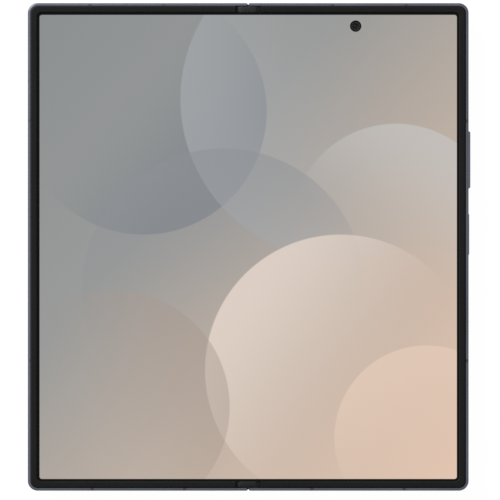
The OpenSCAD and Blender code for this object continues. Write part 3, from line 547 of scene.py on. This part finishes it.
satin_glass, satin_skin = new_finish("satin_glass", roughness=0.3, specular=0.35, coat=0.1,
                                     coat_roughness=0.18)
satin_spot = place_on(satin_glass)
etch = noise(satin_glass, satin_spot, 9, 2)
paint_drift = stretched(satin_glass, noise(satin_glass, satin_spot, 0.03, 2))
surface(satin_glass, satin_skin,
        mixed(satin_glass, paint_drift, paint(56, 60, 72), paint(64, 68, 80)),
        etch, (0.3, 0.4))
bump(satin_glass, satin_skin, etch, 0.002)
back_sheet = ground_edges("back_sheet", "back_glass", satin_glass)
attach(back_sheet, "right_half")
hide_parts("back_glass")

# ---------------------------------------------------------------- camera block
# A raised island milled from the same aluminium as the rim, blasted and anodised, set
# through the back glass and held by a flange under it.
island_metal = anodised("island_metal", paint(84, 88, 100), paint(76, 80, 91),
                        paint(160, 163, 172), roughness=(0.3, 0.4), edge_mm=0.1)
dress(["camera_island"], island_metal)

# ---------------------------------------------------------------- lens rings
# Three turned aluminium rings, one to a lens: chamfered outside, a polished land, and a
# step inside that the lens glass is glued to.
lens_x = middle_of("camera_island")[0]
rings_low, rings_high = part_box("lens_rings")
ring_r = (rings_high.x - rings_low.x) / 2 / mm
lens_pitch = ((rings_high.y - rings_low.y) / mm - 2 * ring_r) / 2
lens_y = [(rings_high.y / mm - ring_r) - i * lens_pitch for i in range(3)]
lens_middles = [(lens_x, y) for y in lens_y]
ring_top, ring_h = rings_low.z / mm, (rings_high.z - rings_low.z) / mm


def turned(name, profile, finish, middle, turns=96, smooth_deg=35):
    """A piece turned on a lathe: profile is (radius, height) from the axis and back."""
    points, faces = [], []
    n = len(profile)
    for t in range(turns):
        a = 2 * math.pi * t / turns
        points += [(middle[0] + r * math.cos(a), middle[1] + r * math.sin(a), middle[2] + h)
                   for r, h in profile]
    for t in range(turns):
        u = (t + 1) % turns
        for i in range(n):
            j = (i + 1) % n
            if profile[i][0] > 0 or profile[j][0] > 0:
                faces.append((t * n + i, t * n + j, u * n + j, u * n + i))
    return make_piece(name, points, faces, finish, smooth_deg)


def from_nearest(mat, middles):
    """How far a place lies from the nearest of several upright axes."""
    near = None
    for x, y in middles:
        away = length_of(mat, place_on(mat, (1.0, 1.0, 0.0), (x, y, 0.0)))
        near = away if near is None else combined(mat, "MINIMUM", near, away)
    return near


tool_pitch = 0.09
ring_metal, ring_skin = new_finish("ring_metal", metallic=1.0)
around = add(ring_metal, "CombineXYZ", {0: from_nearest(ring_metal, lens_middles)}).outputs[0]
tool_lines = noise(ring_metal, around, 1 / tool_pitch, 2)
ring_soft, ring_edge = edge_line(ring_metal, 0.05)
ring_tone = mixed(ring_metal, stretched(ring_metal, tool_lines), paint(92, 96, 107),
                  paint(112, 116, 127))
surface(ring_metal, ring_skin, mixed(ring_metal, ring_edge, ring_tone, paint(184, 187, 195)),
        tool_lines, (0.16, 0.28))
bump(ring_metal, ring_skin, tool_lines, 0.006, ring_soft, 0.5)

ring_profile = [(5.25, ring_h), (5.25, 0.92), (5.75, 0.9), (5.78, 0.32), (5.86, 0.24),
                (6.35, 0.06), (6.5, 0.0), (6.82, 0.0), (6.98, 0.05), (7.12, 0.2),
                (ring_r, 0.36), (ring_r, 0.86), (7.1, 0.93), (7.1, ring_h)]
for i, y in enumerate(lens_y):
    ring = turned(f"lens_ring_{i + 1}", ring_profile, ring_metal, (lens_x, y, ring_top))
    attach(ring, "right_half")
    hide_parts("lens_rings")

# ---------------------------------------------------------------- lens glasses and lenses
# Under each ring's clear cover glass a black barrel with stepped ribs holds two coated
# lenses, which glint faintly, on the square housing of its camera.
cover_clear, clear_skin = new_finish("cover_clear", roughness=0.02)
clear_skin.inputs["Transmission Weight"].default_value = 1.0
clear_skin.inputs["IOR"].default_value = 1.35
smear = noise(cover_clear, place_on(cover_clear), 0.7, 3)
surface(cover_clear, clear_skin,
        mixed(cover_clear, stretched(cover_clear, smear), paint(244, 247, 250),
              paint(252, 253, 255)),
        smear, (0.01, 0.04))

barrel_black, barrel_skin = new_finish("barrel_black", roughness=0.4, specular=0.12)
barrel_grain = noise(barrel_black, place_on(barrel_black), 14, 2)
surface(barrel_black, barrel_skin,
        mixed(barrel_black, barrel_grain, paint(10, 10, 11), paint(22, 22, 25)),
        barrel_grain, (0.3, 0.5))
bump(barrel_black, barrel_skin, barrel_grain, 0.004)


def coated_lens(name, film_nm, middles, deep, rim_tint):
    """Dark lens with a thin anti-reflection film and a tinted edge."""
    mat, skin = new_finish(name, roughness=0.04, specular=0.2)
    skin.inputs["Thin Film Thickness"].default_value = film_nm
    skin.inputs["Thin Film IOR"].default_value = 1.62
    haze = noise(mat, place_on(mat), 1.5, 2)
    tone = mixed(mat, spread(mat, from_nearest(mat, middles), 0.4, 2.6), deep, rim_tint)
    surface(mat, skin, mixed(mat, stretched(mat, haze, 0.0, 0.3), tone, deep), haze, (0.03, 0.07))
    return mat


front_coat = coated_lens("front_coat", 330, lens_middles, paint(5, 6, 12), paint(16, 18, 40))
rear_coat = coated_lens("rear_coat", 243, lens_middles, paint(8, 22, 26), paint(10, 34, 36))

glass_r, glass_t, glass_edge = 5.7, 0.6, 0.08
glass_top = ring_top + 0.3
cover_profile = [(0, 0), (glass_r - glass_edge, 0.0), (glass_r, glass_edge),
                 (glass_r, glass_t - glass_edge), (glass_r - glass_edge, glass_t), (0, glass_t)]
module_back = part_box("camera_modules")[1].z / mm
module_w, module_t, module_edge = 10.4, 1.74, 0.2
barrel_r, barrel_bore, barrel_l, barrel_lip, lens_play = 5.18, 4.95, 2.62, -0.1, 0.12
rib_count, rib_drop = 5, 0.1
dome_top, dome_edge = 0.18, 0.25
lens_radii = [2.3, 3.0, 2.6]
for i, (y, pupil) in enumerate(zip(lens_y, lens_radii)):
    cover = turned(f"lens_cover_{i + 1}", cover_profile, cover_clear, (lens_x, y, glass_top))
    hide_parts("lens_glasses")
    inner_r = pupil + lens_play
    width = (barrel_bore - inner_r) / rib_count
    steps = [(barrel_r, barrel_lip), (barrel_r, barrel_l), (inner_r, barrel_l), (inner_r, 0.55)]
    for k in range(rib_count):
        r, h = inner_r + width * k, 0.5 - rib_drop * k
        steps += [(r + width * 0.12, h), (r + width * 0.78, h), (r + width * 0.9, h - 0.06)]
    steps += [(barrel_bore, barrel_lip)]
    barrel = turned(f"lens_barrel_{i + 1}", steps, barrel_black,
                    (lens_x, y, glass_top + 0.75), smooth_deg=20)
    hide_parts("camera_modules")
    base = pillow_strip(f"lens_base_{i + 1}", (lens_x, y, module_back - module_t / 2),
                        (module_w, module_w, module_t), module_edge, camera_black)
    dome = [(0, dome_top)]
    dome += [(pupil * math.sin(a), dome_top + pupil * 0.35 * (1 - math.cos(a)))
             for a in (math.radians(12 * k) for k in range(1, 7))]
    edge_r, edge_h = dome[-1]
    dome += [(edge_r, edge_h + dome_edge), (0, edge_h + dome_edge)]
    front = turned(f"lens_front_{i + 1}", dome, front_coat, (lens_x, y, glass_top + 0.85))
    rear_r = pupil * 0.42
    rear = turned(f"lens_rear_{i + 1}", [(0, 0.0), (rear_r * 0.6, 0.03), (rear_r, 0.1),
                  (rear_r + 0.12, 0.24), (0, 0.24)], rear_coat, (lens_x, y, glass_top + 0.95))
    for piece in (cover, barrel, base, front, rear):
        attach(piece, "right_half")

# ---------------------------------------------------------------- flash
# A clear moulded lens with concentric ribs over a pale yellow lamp, set flush in the back
# glass.
flash_x, flash_y, _ = middle_of("flash")
flash_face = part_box("flash")[0].z / mm

flash_resin, flash_skin = new_finish("flash_resin", roughness=0.16, specular=0.6, coat=0.5)
flash_away = from_nearest(flash_resin, [(flash_x, flash_y)])
lamp_glow = spread(flash_resin, flash_away, 0.3, 1.9, 1.0, 0.0, "SMOOTHSTEP")
flash_mottle = noise(flash_resin, place_on(flash_resin), 3, 2)
surface(flash_resin, flash_skin,
        mixed(flash_resin, lamp_glow, paint(214, 212, 204), paint(236, 214, 132)),
        flash_mottle, (0.12, 0.24))

rib_first, rib_pitch, rib_top, rib_deep = 0.35, 0.26, 0.02, 0.1
ribs = [(0, 0.06)]
for k in range(7):
    r = rib_first + k * rib_pitch
    ribs += [(r, rib_top), (r + 0.03, rib_top + rib_deep)]
ribs += [(2.2, rib_top), (2.42, 0.0), (2.5, 0.08), (2.5, 0.4), (3.1, 0.4), (3.1, 0.9), (0, 0.9)]
flash_lens = turned("flash_lens", ribs, flash_resin, (flash_x, flash_y, flash_face),
                    smooth_deg=20)
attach(flash_lens, "right_half")
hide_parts("flash")

# ---------------------------------------------------------------- outer screen
# One sheet of clear glass with ground edges, glued over the dark panel in the back of the
# left half; only its outer face mirrors, so its index is set low. A black border is printed
# under its edge, and a small camera looks out through the panel.
bonded_clear, bonded_skin = new_finish("bonded_clear", roughness=0.03)
bonded_skin.inputs["Transmission Weight"].default_value = 1.0
bonded_skin.inputs["IOR"].default_value = 1.28
wipe = noise(bonded_clear, place_on(bonded_clear), 0.12, 3)
surface(bonded_clear, bonded_skin,
        mixed(bonded_clear, stretched(bonded_clear, wipe), paint(248, 249, 252),
              paint(254, 254, 255)),
        wipe, (0.015, 0.04))
cover_sheet = ground_edges("cover_sheet", "cover_glass", bonded_clear, inner_gap=0.03)
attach(cover_sheet, "left_half")
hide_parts("cover_glass")

dark_panel, panel_skin = new_finish("dark_panel", roughness=0.3, specular=0.0)
panel_spot = place_on(dark_panel)
cells = add(dark_panel, "TexVoronoi", {"Vector": panel_spot, "Scale": 16},
            distance="CHEBYCHEV").outputs["Distance"]
surface(dark_panel, panel_skin,
        mixed(dark_panel, spread(dark_panel, cells, 0.1, 0.5), paint(9, 10, 13), paint(12, 13, 16)))
dress(["cover_panel"], dark_panel)

print_black, print_skin = new_finish("print_black", roughness=0.5, specular=0.0)
print_grain = noise(print_black, place_on(print_black), 6, 2)
surface(print_black, print_skin, mixed(print_black, print_grain, paint(3, 3, 4), paint(6, 6, 7)),
        print_grain, (0.42, 0.56))


def rounded_path(inset, radius, near_x):
    """Half the phone's outline at an inset, from the fold round both corners and back."""
    steps = 12
    x, y = half_w - inset, top_y - inset
    path = [(near_x, y)]
    for k in range(steps + 1):
        a = math.pi / 2 * (1 - k / steps)
        path.append((x - radius + radius * math.cos(a), y - radius + radius * math.sin(a)))
    return path + [(px, -py) for px, py in reversed(path)]


def swept_band(name, section, side, finish, smooth_deg=40, closed=False):
    """A band run along half the outline; its section is (inset, radius, near edge, height)."""
    points, faces = [], []
    rows = [rounded_path(inset, radius, near_x) for inset, radius, near_x, _ in section]
    n, m = len(section), len(rows[0])
    for row, (_, _, _, height) in zip(rows, section):
        points += [(side * x, y, height) for x, y in row]
    for i in range(n):
        j = (i + 1) % n
        for k in range(m if closed else m - 1):
            ahead = (k + 1) % m
            faces.append((i * m + k, i * m + ahead, j * m + ahead, j * m + k))
    if not closed:
        faces += [tuple(i * m for i in range(n)), tuple(i * m + m - 1 for i in range(n))]
    return make_piece(name, points, faces, finish, smooth_deg)


panel_low, corner_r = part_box("cover_panel")[0].z / mm, 3.2
sheet_low, sheet_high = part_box("cover_glass")
glass_in, glass_near = half_w + sheet_low.x / mm, -sheet_high.x / mm
print_w, print_r, print_near = 2.6, 1.2, 5.6
outer_line = (glass_in, corner_r - glass_in, glass_near)
inner_line = (glass_in + print_w, print_r, print_near)
print_face, print_back = panel_low - 0.02, panel_low - 0.002
print_ring = swept_band("cover_print", [
    (*outer_line, print_face), (*inner_line, print_face), (*inner_line, print_back),
    (*outer_line, print_back)], -1, print_black, closed=True)
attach(print_ring, "left_half")

cover_x, cover_y, _ = middle_of("cover_camera")
cover_coat = coated_lens("cover_coat", 430, [(cover_x, cover_y)], paint(6, 8, 14),
                         paint(22, 24, 52))
cover_iris = turned("cover_iris", [(1.95, 0.0), (2.1, 0.12), (2.1, 0.3), (0.8, 0.3), (0.8, 0.2),
                    (1.1, 0.16), (1.2, 0.1), (1.5, 0.1), (1.6, 0.02)], barrel_black,
                    (cover_x, cover_y, panel_low - 0.02), 64)
cover_pupil = turned("cover_pupil", [(0, 0.02), (0.3, 0.03), (0.55, 0.08), (0.74, 0.16),
                     (0.8, 0.22), (0.8, 0.3), (0, 0.3)], cover_coat,
                     (cover_x, cover_y, panel_low - 0.01), 64)
for piece in (cover_iris, cover_pupil):
    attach(piece, "left_half")

# ---------------------------------------------------------------- card tray
# A milled aluminium tray that fills its slot in the bottom edge, anodised with the rim,
# with a pin hole to push it out.
tray_metal = anodised("tray_metal", paint(90, 93, 103), paint(79, 82, 92), paint(154, 157, 166),
                      edge_mm=0.08)
dress(["card_tray"], tray_metal)

# ---------------------------------------------------------------- soft border
# The raised border round the folding screen, moulded in soft black plastic and bonded
# over the screen's edge. Its outer edge slopes to the rim, its inner edge is rounded. Soft
# lips of the same plastic hang from its ends beside the hinge cover.
border_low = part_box("screen_border_right")[0]
border_near, border_z = border_low.x / mm, border_low.z / mm
border_out, border_in, border_r = 0.85, 3.1, 1.4
soft_black = moulded("soft_black", paint(33, 33, 33), paint(31, 31, 31), (0.46, 0.54), 0.1, 0.002,
                     0.04, edge_share=0.0)

# From its outer foot over the top to its inner edge: distance in, height
border_section = [(border_out + d, corner_r - border_out - d, border_near, border_z + h)
                  for d, h in ((0.0, 0.0), (0.03, 0.04), (0.24, 0.17), (0.44, 0.275),
                               (0.52, 0.298), (0.6, 0.3))]
border_section += [(border_in - d, border_r + d, border_near, border_z + h)
                   for d, h in ((0.38, 0.3), (0.31, 0.298), (0.21, 0.27), (0.08, 0.17),
                                (0.0, 0.05), (0.0, 0.0))]
for side, half in ((1, "right"), (-1, "left")):
    border = swept_band(f"border_{half}", border_section, side, soft_black, 50)
    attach(border, f"{half}_half")
    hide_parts(f"screen_border_{half}")

dress(["fold_seals_right", "fold_seals_left"], soft_black)

# ---------------------------------------------------------------- end caps of the fold
# Two soft caps bonded to the ends of the spine close the border across the fold: a raised
# pad with sloped sides between two low shoulders.
caps_low, caps_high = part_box("hinge_end_caps")
cap_far, cap_base = caps_high.y / mm, caps_low.z / mm
cap_near, cap_foot, cap_pad = 76.13, 3.8, 3.1
cap_rubber = moulded("cap_rubber", paint(42, 42, 43), paint(38, 38, 39), (0.46, 0.6), 0.1, 0.004,
                     0.08, edge_share=0.0)
# Distance across, height
across = [(-cap_foot, 0.0), (-cap_foot, 0.44), (-cap_foot + 0.06, 0.5), (-cap_pad, 0.5),
          (-cap_pad + 0.25, 0.62), (-cap_pad + 0.5, 0.76), (-cap_pad + 0.85, 0.83), (-1.2, 0.85)]
across += [(-x, h) for x, h in reversed(across)]
# Distance from the middle of the phone, share of the height
along = [(cap_near, 0.0), (cap_near, 0.9), (cap_near + 0.08, 0.97), (cap_near + 0.28, 1.0),
         (cap_far - 0.5, 1.0), (cap_far - 0.3, 0.9), (cap_far - 0.06, 0.5), (cap_far, 0.0)]
n, last = len(across), len(along) - 1
cap_faces = [(r * n + i, r * n + i + 1, (r + 1) * n + i + 1, (r + 1) * n + i)
             for r in range(last) for i in range(n - 1)]
underside = list(range(n)) + [r * n + n - 1 for r in range(1, last)]
underside += [last * n + i for i in reversed(range(n))] + [r * n for r in range(last - 1, 0, -1)]
cap_faces.append(tuple(underside))
for end, name in ((1, "cap_top"), (-1, "cap_bottom")):
    points = [(x, end * y, cap_base + h * share) for y, share in along for x, h in across]
    cap = make_piece(name, points, cap_faces, cap_rubber, 50)
    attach(cap, "spine")
    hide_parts("hinge_end_caps")

# ---------------------------------------------------------------- folding screen
# The screen is one thin sheet: a clear film over lit cells. It is made here as two sheets
# that meet at the fold line, each with narrow strips across the bend beside the hinge. The
# picture is a plain design of overlapping rounds, cool above and warm below.
screen_low, screen_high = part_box("screen_right")
film_out, film_y, film_top = (c / mm for c in screen_high)
film_low = screen_low.z / mm + 0.15
bend_half, bend_y = 5.0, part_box("screen_bend")[1].y / mm
hole_x, hole_y, hole_r = 34.9, 71.7, 1.85

lit_picture, picture_skin = new_finish("lit_picture", roughness=0.16, specular=0.05)
picture_skin.inputs["Emission Strength"].default_value = 1.0
rest_place = add(lit_picture, "Attribute", attribute_name="rest_place").outputs["Vector"]


def shaded(mat, value, stops):
    """A colour from a row of (place, colour) stops."""
    ramp = add(mat, "ValToRGB", {"Fac": value})
    bands = ramp.color_ramp
    bands.interpolation = "LINEAR"
    while len(bands.elements) < len(stops):
        bands.elements.new(0.5)
    for element, (where, colour) in zip(bands.elements, stops):
        element.position = where
        element.color = colour
    return ramp.outputs[0]


slant = add(lit_picture, "VectorMath", {0: rest_place, 1: (0.6, -0.55, 0.0)},
            operation="DOT_PRODUCT").outputs["Value"]
ground = shaded(lit_picture, spread(lit_picture, slant, -83, 83),
                [(0.0, paint(136, 140, 141)), (0.36, paint(151, 152, 151)),
                 (0.62, paint(187, 173, 161)), (1.0, paint(226, 196, 175))])
# Middle, radius, the way in which it strengthens, colour, strength
rounds = [((-34, 44), 40, (0.75, -0.66), paint(104, 113, 126), 0.62),
          ((30, 48), 52, (-0.94, -0.34), paint(168, 172, 176), 0.55),
          ((48, 6), 34, (0.5, 0.86), paint(196, 194, 192), 0.7),
          ((-8, -14), 46, (-0.2, 0.98), paint(138, 142, 147), 0.5),
          ((30, -40), 44, (-0.8, 0.6), paint(232, 216, 205), 0.75),
          ((-44, -52), 38, (0.9, 0.42), paint(166, 150, 140), 0.5),
          ((58, -62), 30, (-0.5, 0.86), paint(240, 212, 192), 0.45)]
soft_line = 0.2
for (cx, cy), radius, (dx, dy), tone, depth in rounds:
    off = add(lit_picture, "VectorMath", {0: rest_place, 1: (cx, cy, 0)},
              operation="SUBTRACT").outputs[0]
    ahead = add(lit_picture, "VectorMath", {0: off, 1: (dx, dy, 0)},
                operation="DOT_PRODUCT").outputs["Value"]
    inside = spread(lit_picture, length_of(lit_picture, off), radius - soft_line,
                    radius + soft_line, 1.0, 0.0)
    shade = spread(lit_picture, ahead, radius * -0.35, radius, 0.0, depth, "SMOOTHSTEP")
    ground = mixed(lit_picture, combined(lit_picture, "MULTIPLY", inside, shade), ground, tone)
cell_grain = noise(lit_picture, place_on(lit_picture), 3, 2)
picture = mixed(lit_picture, spread(lit_picture, cell_grain, 0.2, 0.8, 0.0, 0.02), ground,
                paint(255, 255, 255))
picture_in, picture_r, sharp_line = 3.86, 0.8, 0.03
core = (half_w - picture_in - picture_r, top_y - picture_in - picture_r, 0.0)
outward = add(lit_picture, "VectorMath", {0: rest_place}, operation="ABSOLUTE").outputs[0]
outward = add(lit_picture, "VectorMath", {0: outward, 1: core}, operation="SUBTRACT").outputs[0]
outward = add(lit_picture, "VectorMath", {0: outward, 1: (0, 0, 0)},
              operation="MAXIMUM").outputs[0]
margin = spread(lit_picture, length_of(lit_picture, outward), picture_r - sharp_line,
                picture_r + sharp_line)
from_hole = add(lit_picture, "VectorMath", {0: rest_place, 1: (hole_x, hole_y, 0)},
                operation="DISTANCE").outputs["Value"]
dark = combined(lit_picture, "MAXIMUM", margin,
                spread(lit_picture, from_hole, hole_r - sharp_line, hole_r + sharp_line, 1.0, 0.0))
surface(lit_picture, picture_skin, mixed(lit_picture, cell_grain, paint(6, 6, 6), paint(9, 9, 9)))
plug(lit_picture, picture_skin.inputs["Emission Color"],
     mixed(lit_picture, dark, picture, paint(0, 0, 0)))


def screen_sheet(name, side):
    """Half the screen: narrow strips across the bend, then a panel; the right has a hole."""
    work = bmesh.new()
    strips, steps, radius, hole_steps = 20, 8, 1.6, 48
    rows = []
    for k in range(strips + 1):
        x = bend_half * k / strips
        rows.append([work.verts.new((x, y, film_top)) for y in (-bend_y, bend_y)])
    for a, b in zip(rows, rows[1:]):
        work.faces.new((a[0], b[0], b[1], a[1]))
    outline = [work.verts.new((bend_half, -film_y, film_top)), rows[-1][0], rows[-1][1],
               work.verts.new((bend_half, film_y, film_top))]
    for end in (1, -1):
        for k in range(steps + 1):
            a = math.pi / 2 * (1 - k / steps if end > 0 else k / steps)
            outline.append(work.verts.new((film_out - radius + radius * math.cos(a),
                                           end * (film_y - radius + radius * math.sin(a)),
                                           film_top)))
    edges = [work.edges.get((a, b)) or work.edges.new((a, b))
             for a, b in zip(outline, outline[1:] + outline[:1])]
    if side > 0:
        turns = [2 * math.pi * k / hole_steps for k in range(hole_steps)]
        hole = [work.verts.new((hole_x + hole_r * math.cos(a), hole_y + hole_r * math.sin(a),
                                film_top)) for a in turns]
        edges += [work.edges.new((a, b)) for a, b in zip(hole, hole[1:] + hole[:1])]
    bmesh.ops.triangle_fill(work, edges=edges, use_beauty=True)
    bmesh.ops.recalc_face_normals(work, faces=work.faces)
    if work.faces[0].normal.z < 0:
        bmesh.ops.reverse_faces(work, faces=work.faces)
    top = list(work.faces)
    grown = bmesh.ops.extrude_face_region(work, geom=top, use_keep_orig=True)
    for v in (g for g in grown["geom"] if isinstance(g, bmesh.types.BMVert)):
        v.co.z = film_low
    bmesh.ops.recalc_face_normals(work, faces=work.faces)
    for v in work.verts:
        v.co = (side * v.co.x * mm, v.co.y * mm, v.co.z * mm)
    if side < 0:
        bmesh.ops.reverse_faces(work, faces=work.faces)
    mesh = bpy.data.meshes.new(name)
    work.to_mesh(mesh)
    work.free()
    rest = mesh.attributes.new("rest_place", "FLOAT_VECTOR", "POINT")
    rest.data.foreach_set("vector", [c / mm for v in mesh.vertices for c in (v.co.x, v.co.y, 0.0)])
    return as_piece(name, mesh, lit_picture, 40)


for side, half in ((1, "right"), (-1, "left")):
    sheet = screen_sheet(f"screen_sheet_{half}", side)
    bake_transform(sheet)
    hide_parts(f"screen_{half}", "screen_bend")

# ---------------------------------------------------------------- inner camera
# A small camera glued behind the hole in the screen: a black chamfered ring, a dark grey
# moulded baffle, and a domed glass lens with a painted blue and a painted violet glint.
iris_black, iris_skin = new_finish("iris_black", specular=0.03)
iris_grain = noise(iris_black, place_on(iris_black), 10, 2)
surface(iris_black, iris_skin, mixed(iris_black, iris_grain, paint(3, 3, 4), paint(9, 9, 10)),
        iris_grain, (0.5, 0.7))
camera_place = (hole_x, hole_y, film_top)
iris = turned("inner_iris", [(1.84, 0.0), (1.84, -0.02), (1.8, -0.04), (1.5, -0.12),
              (1.42, -0.2), (1.40, -0.6), (1.84, -0.6)], iris_black, camera_place, 64)
baffle_grey = moulded("baffle_grey", paint(32, 32, 31), paint(27, 27, 27), (0.5, 0.65), 0.05,
                      0.003, 0.06, edge_share=0.1)
baffle = turned("inner_baffle", [(1.42, -0.16), (1.42, -0.5), (0.6, -0.5), (0.6, -0.24),
                (0.72, -0.18), (0.9, -0.16)], baffle_grey, camera_place, 64)
pupil_glint_paint, pupil_skin = new_finish("pupil_glint_paint", roughness=0.08, specular=0.08)
pupil_flat = place_on(pupil_glint_paint, (1.0, 1.0, 0.0), (hole_x, hole_y, 0.0))
# Painted highlights: the lens colour is dark, with a blue glint painted up and left and a violet
# glint painted down and right.
painted_glints, glint_r = paint(17, 17, 21), 0.36
for spot, glint in (((-0.3, 0.2, 0.0), paint(56, 64, 104)), ((0.3, -0.36, 0.0), paint(56, 38, 60))):
    from_glint = add(pupil_glint_paint, "VectorMath", {0: pupil_flat, 1: spot},
                     operation="DISTANCE").outputs["Value"]
    painted_glints = mixed(pupil_glint_paint, spread(pupil_glint_paint, from_glint, 0.05, glint_r, 1.0, 0.0, "SMOOTHSTEP"),
                 painted_glints, glint)
surface(pupil_glint_paint, pupil_skin, painted_glints)
pupil = turned("inner_lens", [(0, -0.2), (0.2, -0.21), (0.4, -0.26), (0.55, -0.33), (0.6, -0.38),
               (0.6, -0.5), (0, -0.5)], pupil_glint_paint, camera_place, 48)
for piece in (iris, baffle, pupil):
    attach(piece, "right_half")

# ---------------------------------------------------------------- studio
# A white table under a weak overhead softbox and a low, strong one from the upper left,
# with a long lens straight above the phone, as the photograph was framed.


def sees_white(owner):
    """1 for the rays by which the camera, a mirror or a clear piece sees the white."""
    rays = add(owner, "LightPath").outputs
    seen = combined(owner, "MAXIMUM", rays["Is Camera Ray"], rays["Is Glossy Ray"])
    return combined(owner, "MAXIMUM", seen, rays["Is Transmission Ray"])


white = (1, 1, 1, 1)
table_white, table_light, air_light = 0.97, 0.75, 0.17
table_paper, paper_skin = new_finish("table_paper", roughness=0.9, specular=0.0)
paper_grain = noise(table_paper, place_on(table_paper), 0.4, 2)
surface(table_paper, paper_skin,
        mixed(table_paper, paper_grain, (0.09, 0.09, 0.09, 1), (0.1, 0.1, 0.1, 1)))
paper_skin.inputs["Emission Color"].default_value = white
paper_skin.inputs["Emission Strength"].default_value = table_white
glow = add(table_paper, "Emission", {"Color": white, "Strength": table_light})
lit_side = add(table_paper, "MixShader", {0: sees_white(table_paper), 1: glow.outputs[0],
                                          2: paper_skin.outputs[0]})
under = add(table_paper, "NewGeometry").outputs["Backfacing"]
clear = add(table_paper, "BsdfTransparent")
both = add(table_paper, "MixShader", {0: under, 1: lit_side.outputs[0], 2: clear.outputs[0]})
plug(table_paper, table_paper.node_tree.nodes["Material Output"].inputs["Surface"],
     both.outputs[0])

table_half = 2.0
table_mesh = bpy.data.meshes.new("table_top")
table_mesh.from_pydata([(-table_half, -table_half, 0), (table_half, -table_half, 0),
                        (table_half, table_half, 0), (-table_half, table_half, 0)], [],
                       [(0, 1, 2, 3)])
table_top = as_piece("table_top", table_mesh, table_paper)

air = bpy.data.worlds.new("studio_air")
air.use_nodes = True
bpy.context.scene.world = air
sky = air.node_tree.nodes["Background"]
plug(air, sky.inputs["Color"], white)
plug(air, sky.inputs["Strength"], spread(air, sees_white(air), 0.0, 1.0, air_light, 1.0))


def soft_lamp(name, place, wide, tall, watts):
    """A softbox turned to face the phone."""
    lamp = bpy.data.lights.new(name, "AREA")
    lamp.shape, lamp.size, lamp.size_y, lamp.energy = "RECTANGLE", wide, tall, watts
    made = bpy.data.objects.new(name, lamp)
    made.location = place
    made.rotation_euler = (-Vector(place)).to_track_quat("-Z", "Y").to_euler()
    bpy.context.scene.collection.objects.link(made)


soft_lamp("lamp_overhead", (0.0, 0.0, 1.9), 1.4, 1.4, 3.0)
soft_lamp("lamp_upper_left", (-1.0, 1.0, 0.6), 1.2, 0.6, 40.0)

lens_mm, sensor_mm, photo_width, photo_x, photo_y = 330.0, 36.0, 162.35, 0.585, -1.0
camera_data = bpy.data.cameras.new("photo_camera")
camera_data.lens, camera_data.sensor_width = lens_mm, sensor_mm
camera_data.clip_end = 20
camera = bpy.data.objects.new("photo_camera", camera_data)
camera.location = [c * mm for c in
                   (photo_x, photo_y, film_top + photo_width * lens_mm / sensor_mm)]
bpy.context.scene.collection.objects.link(camera)
bpy.context.scene.camera = camera
bpy.context.scene.view_settings.view_transform = "Standard"
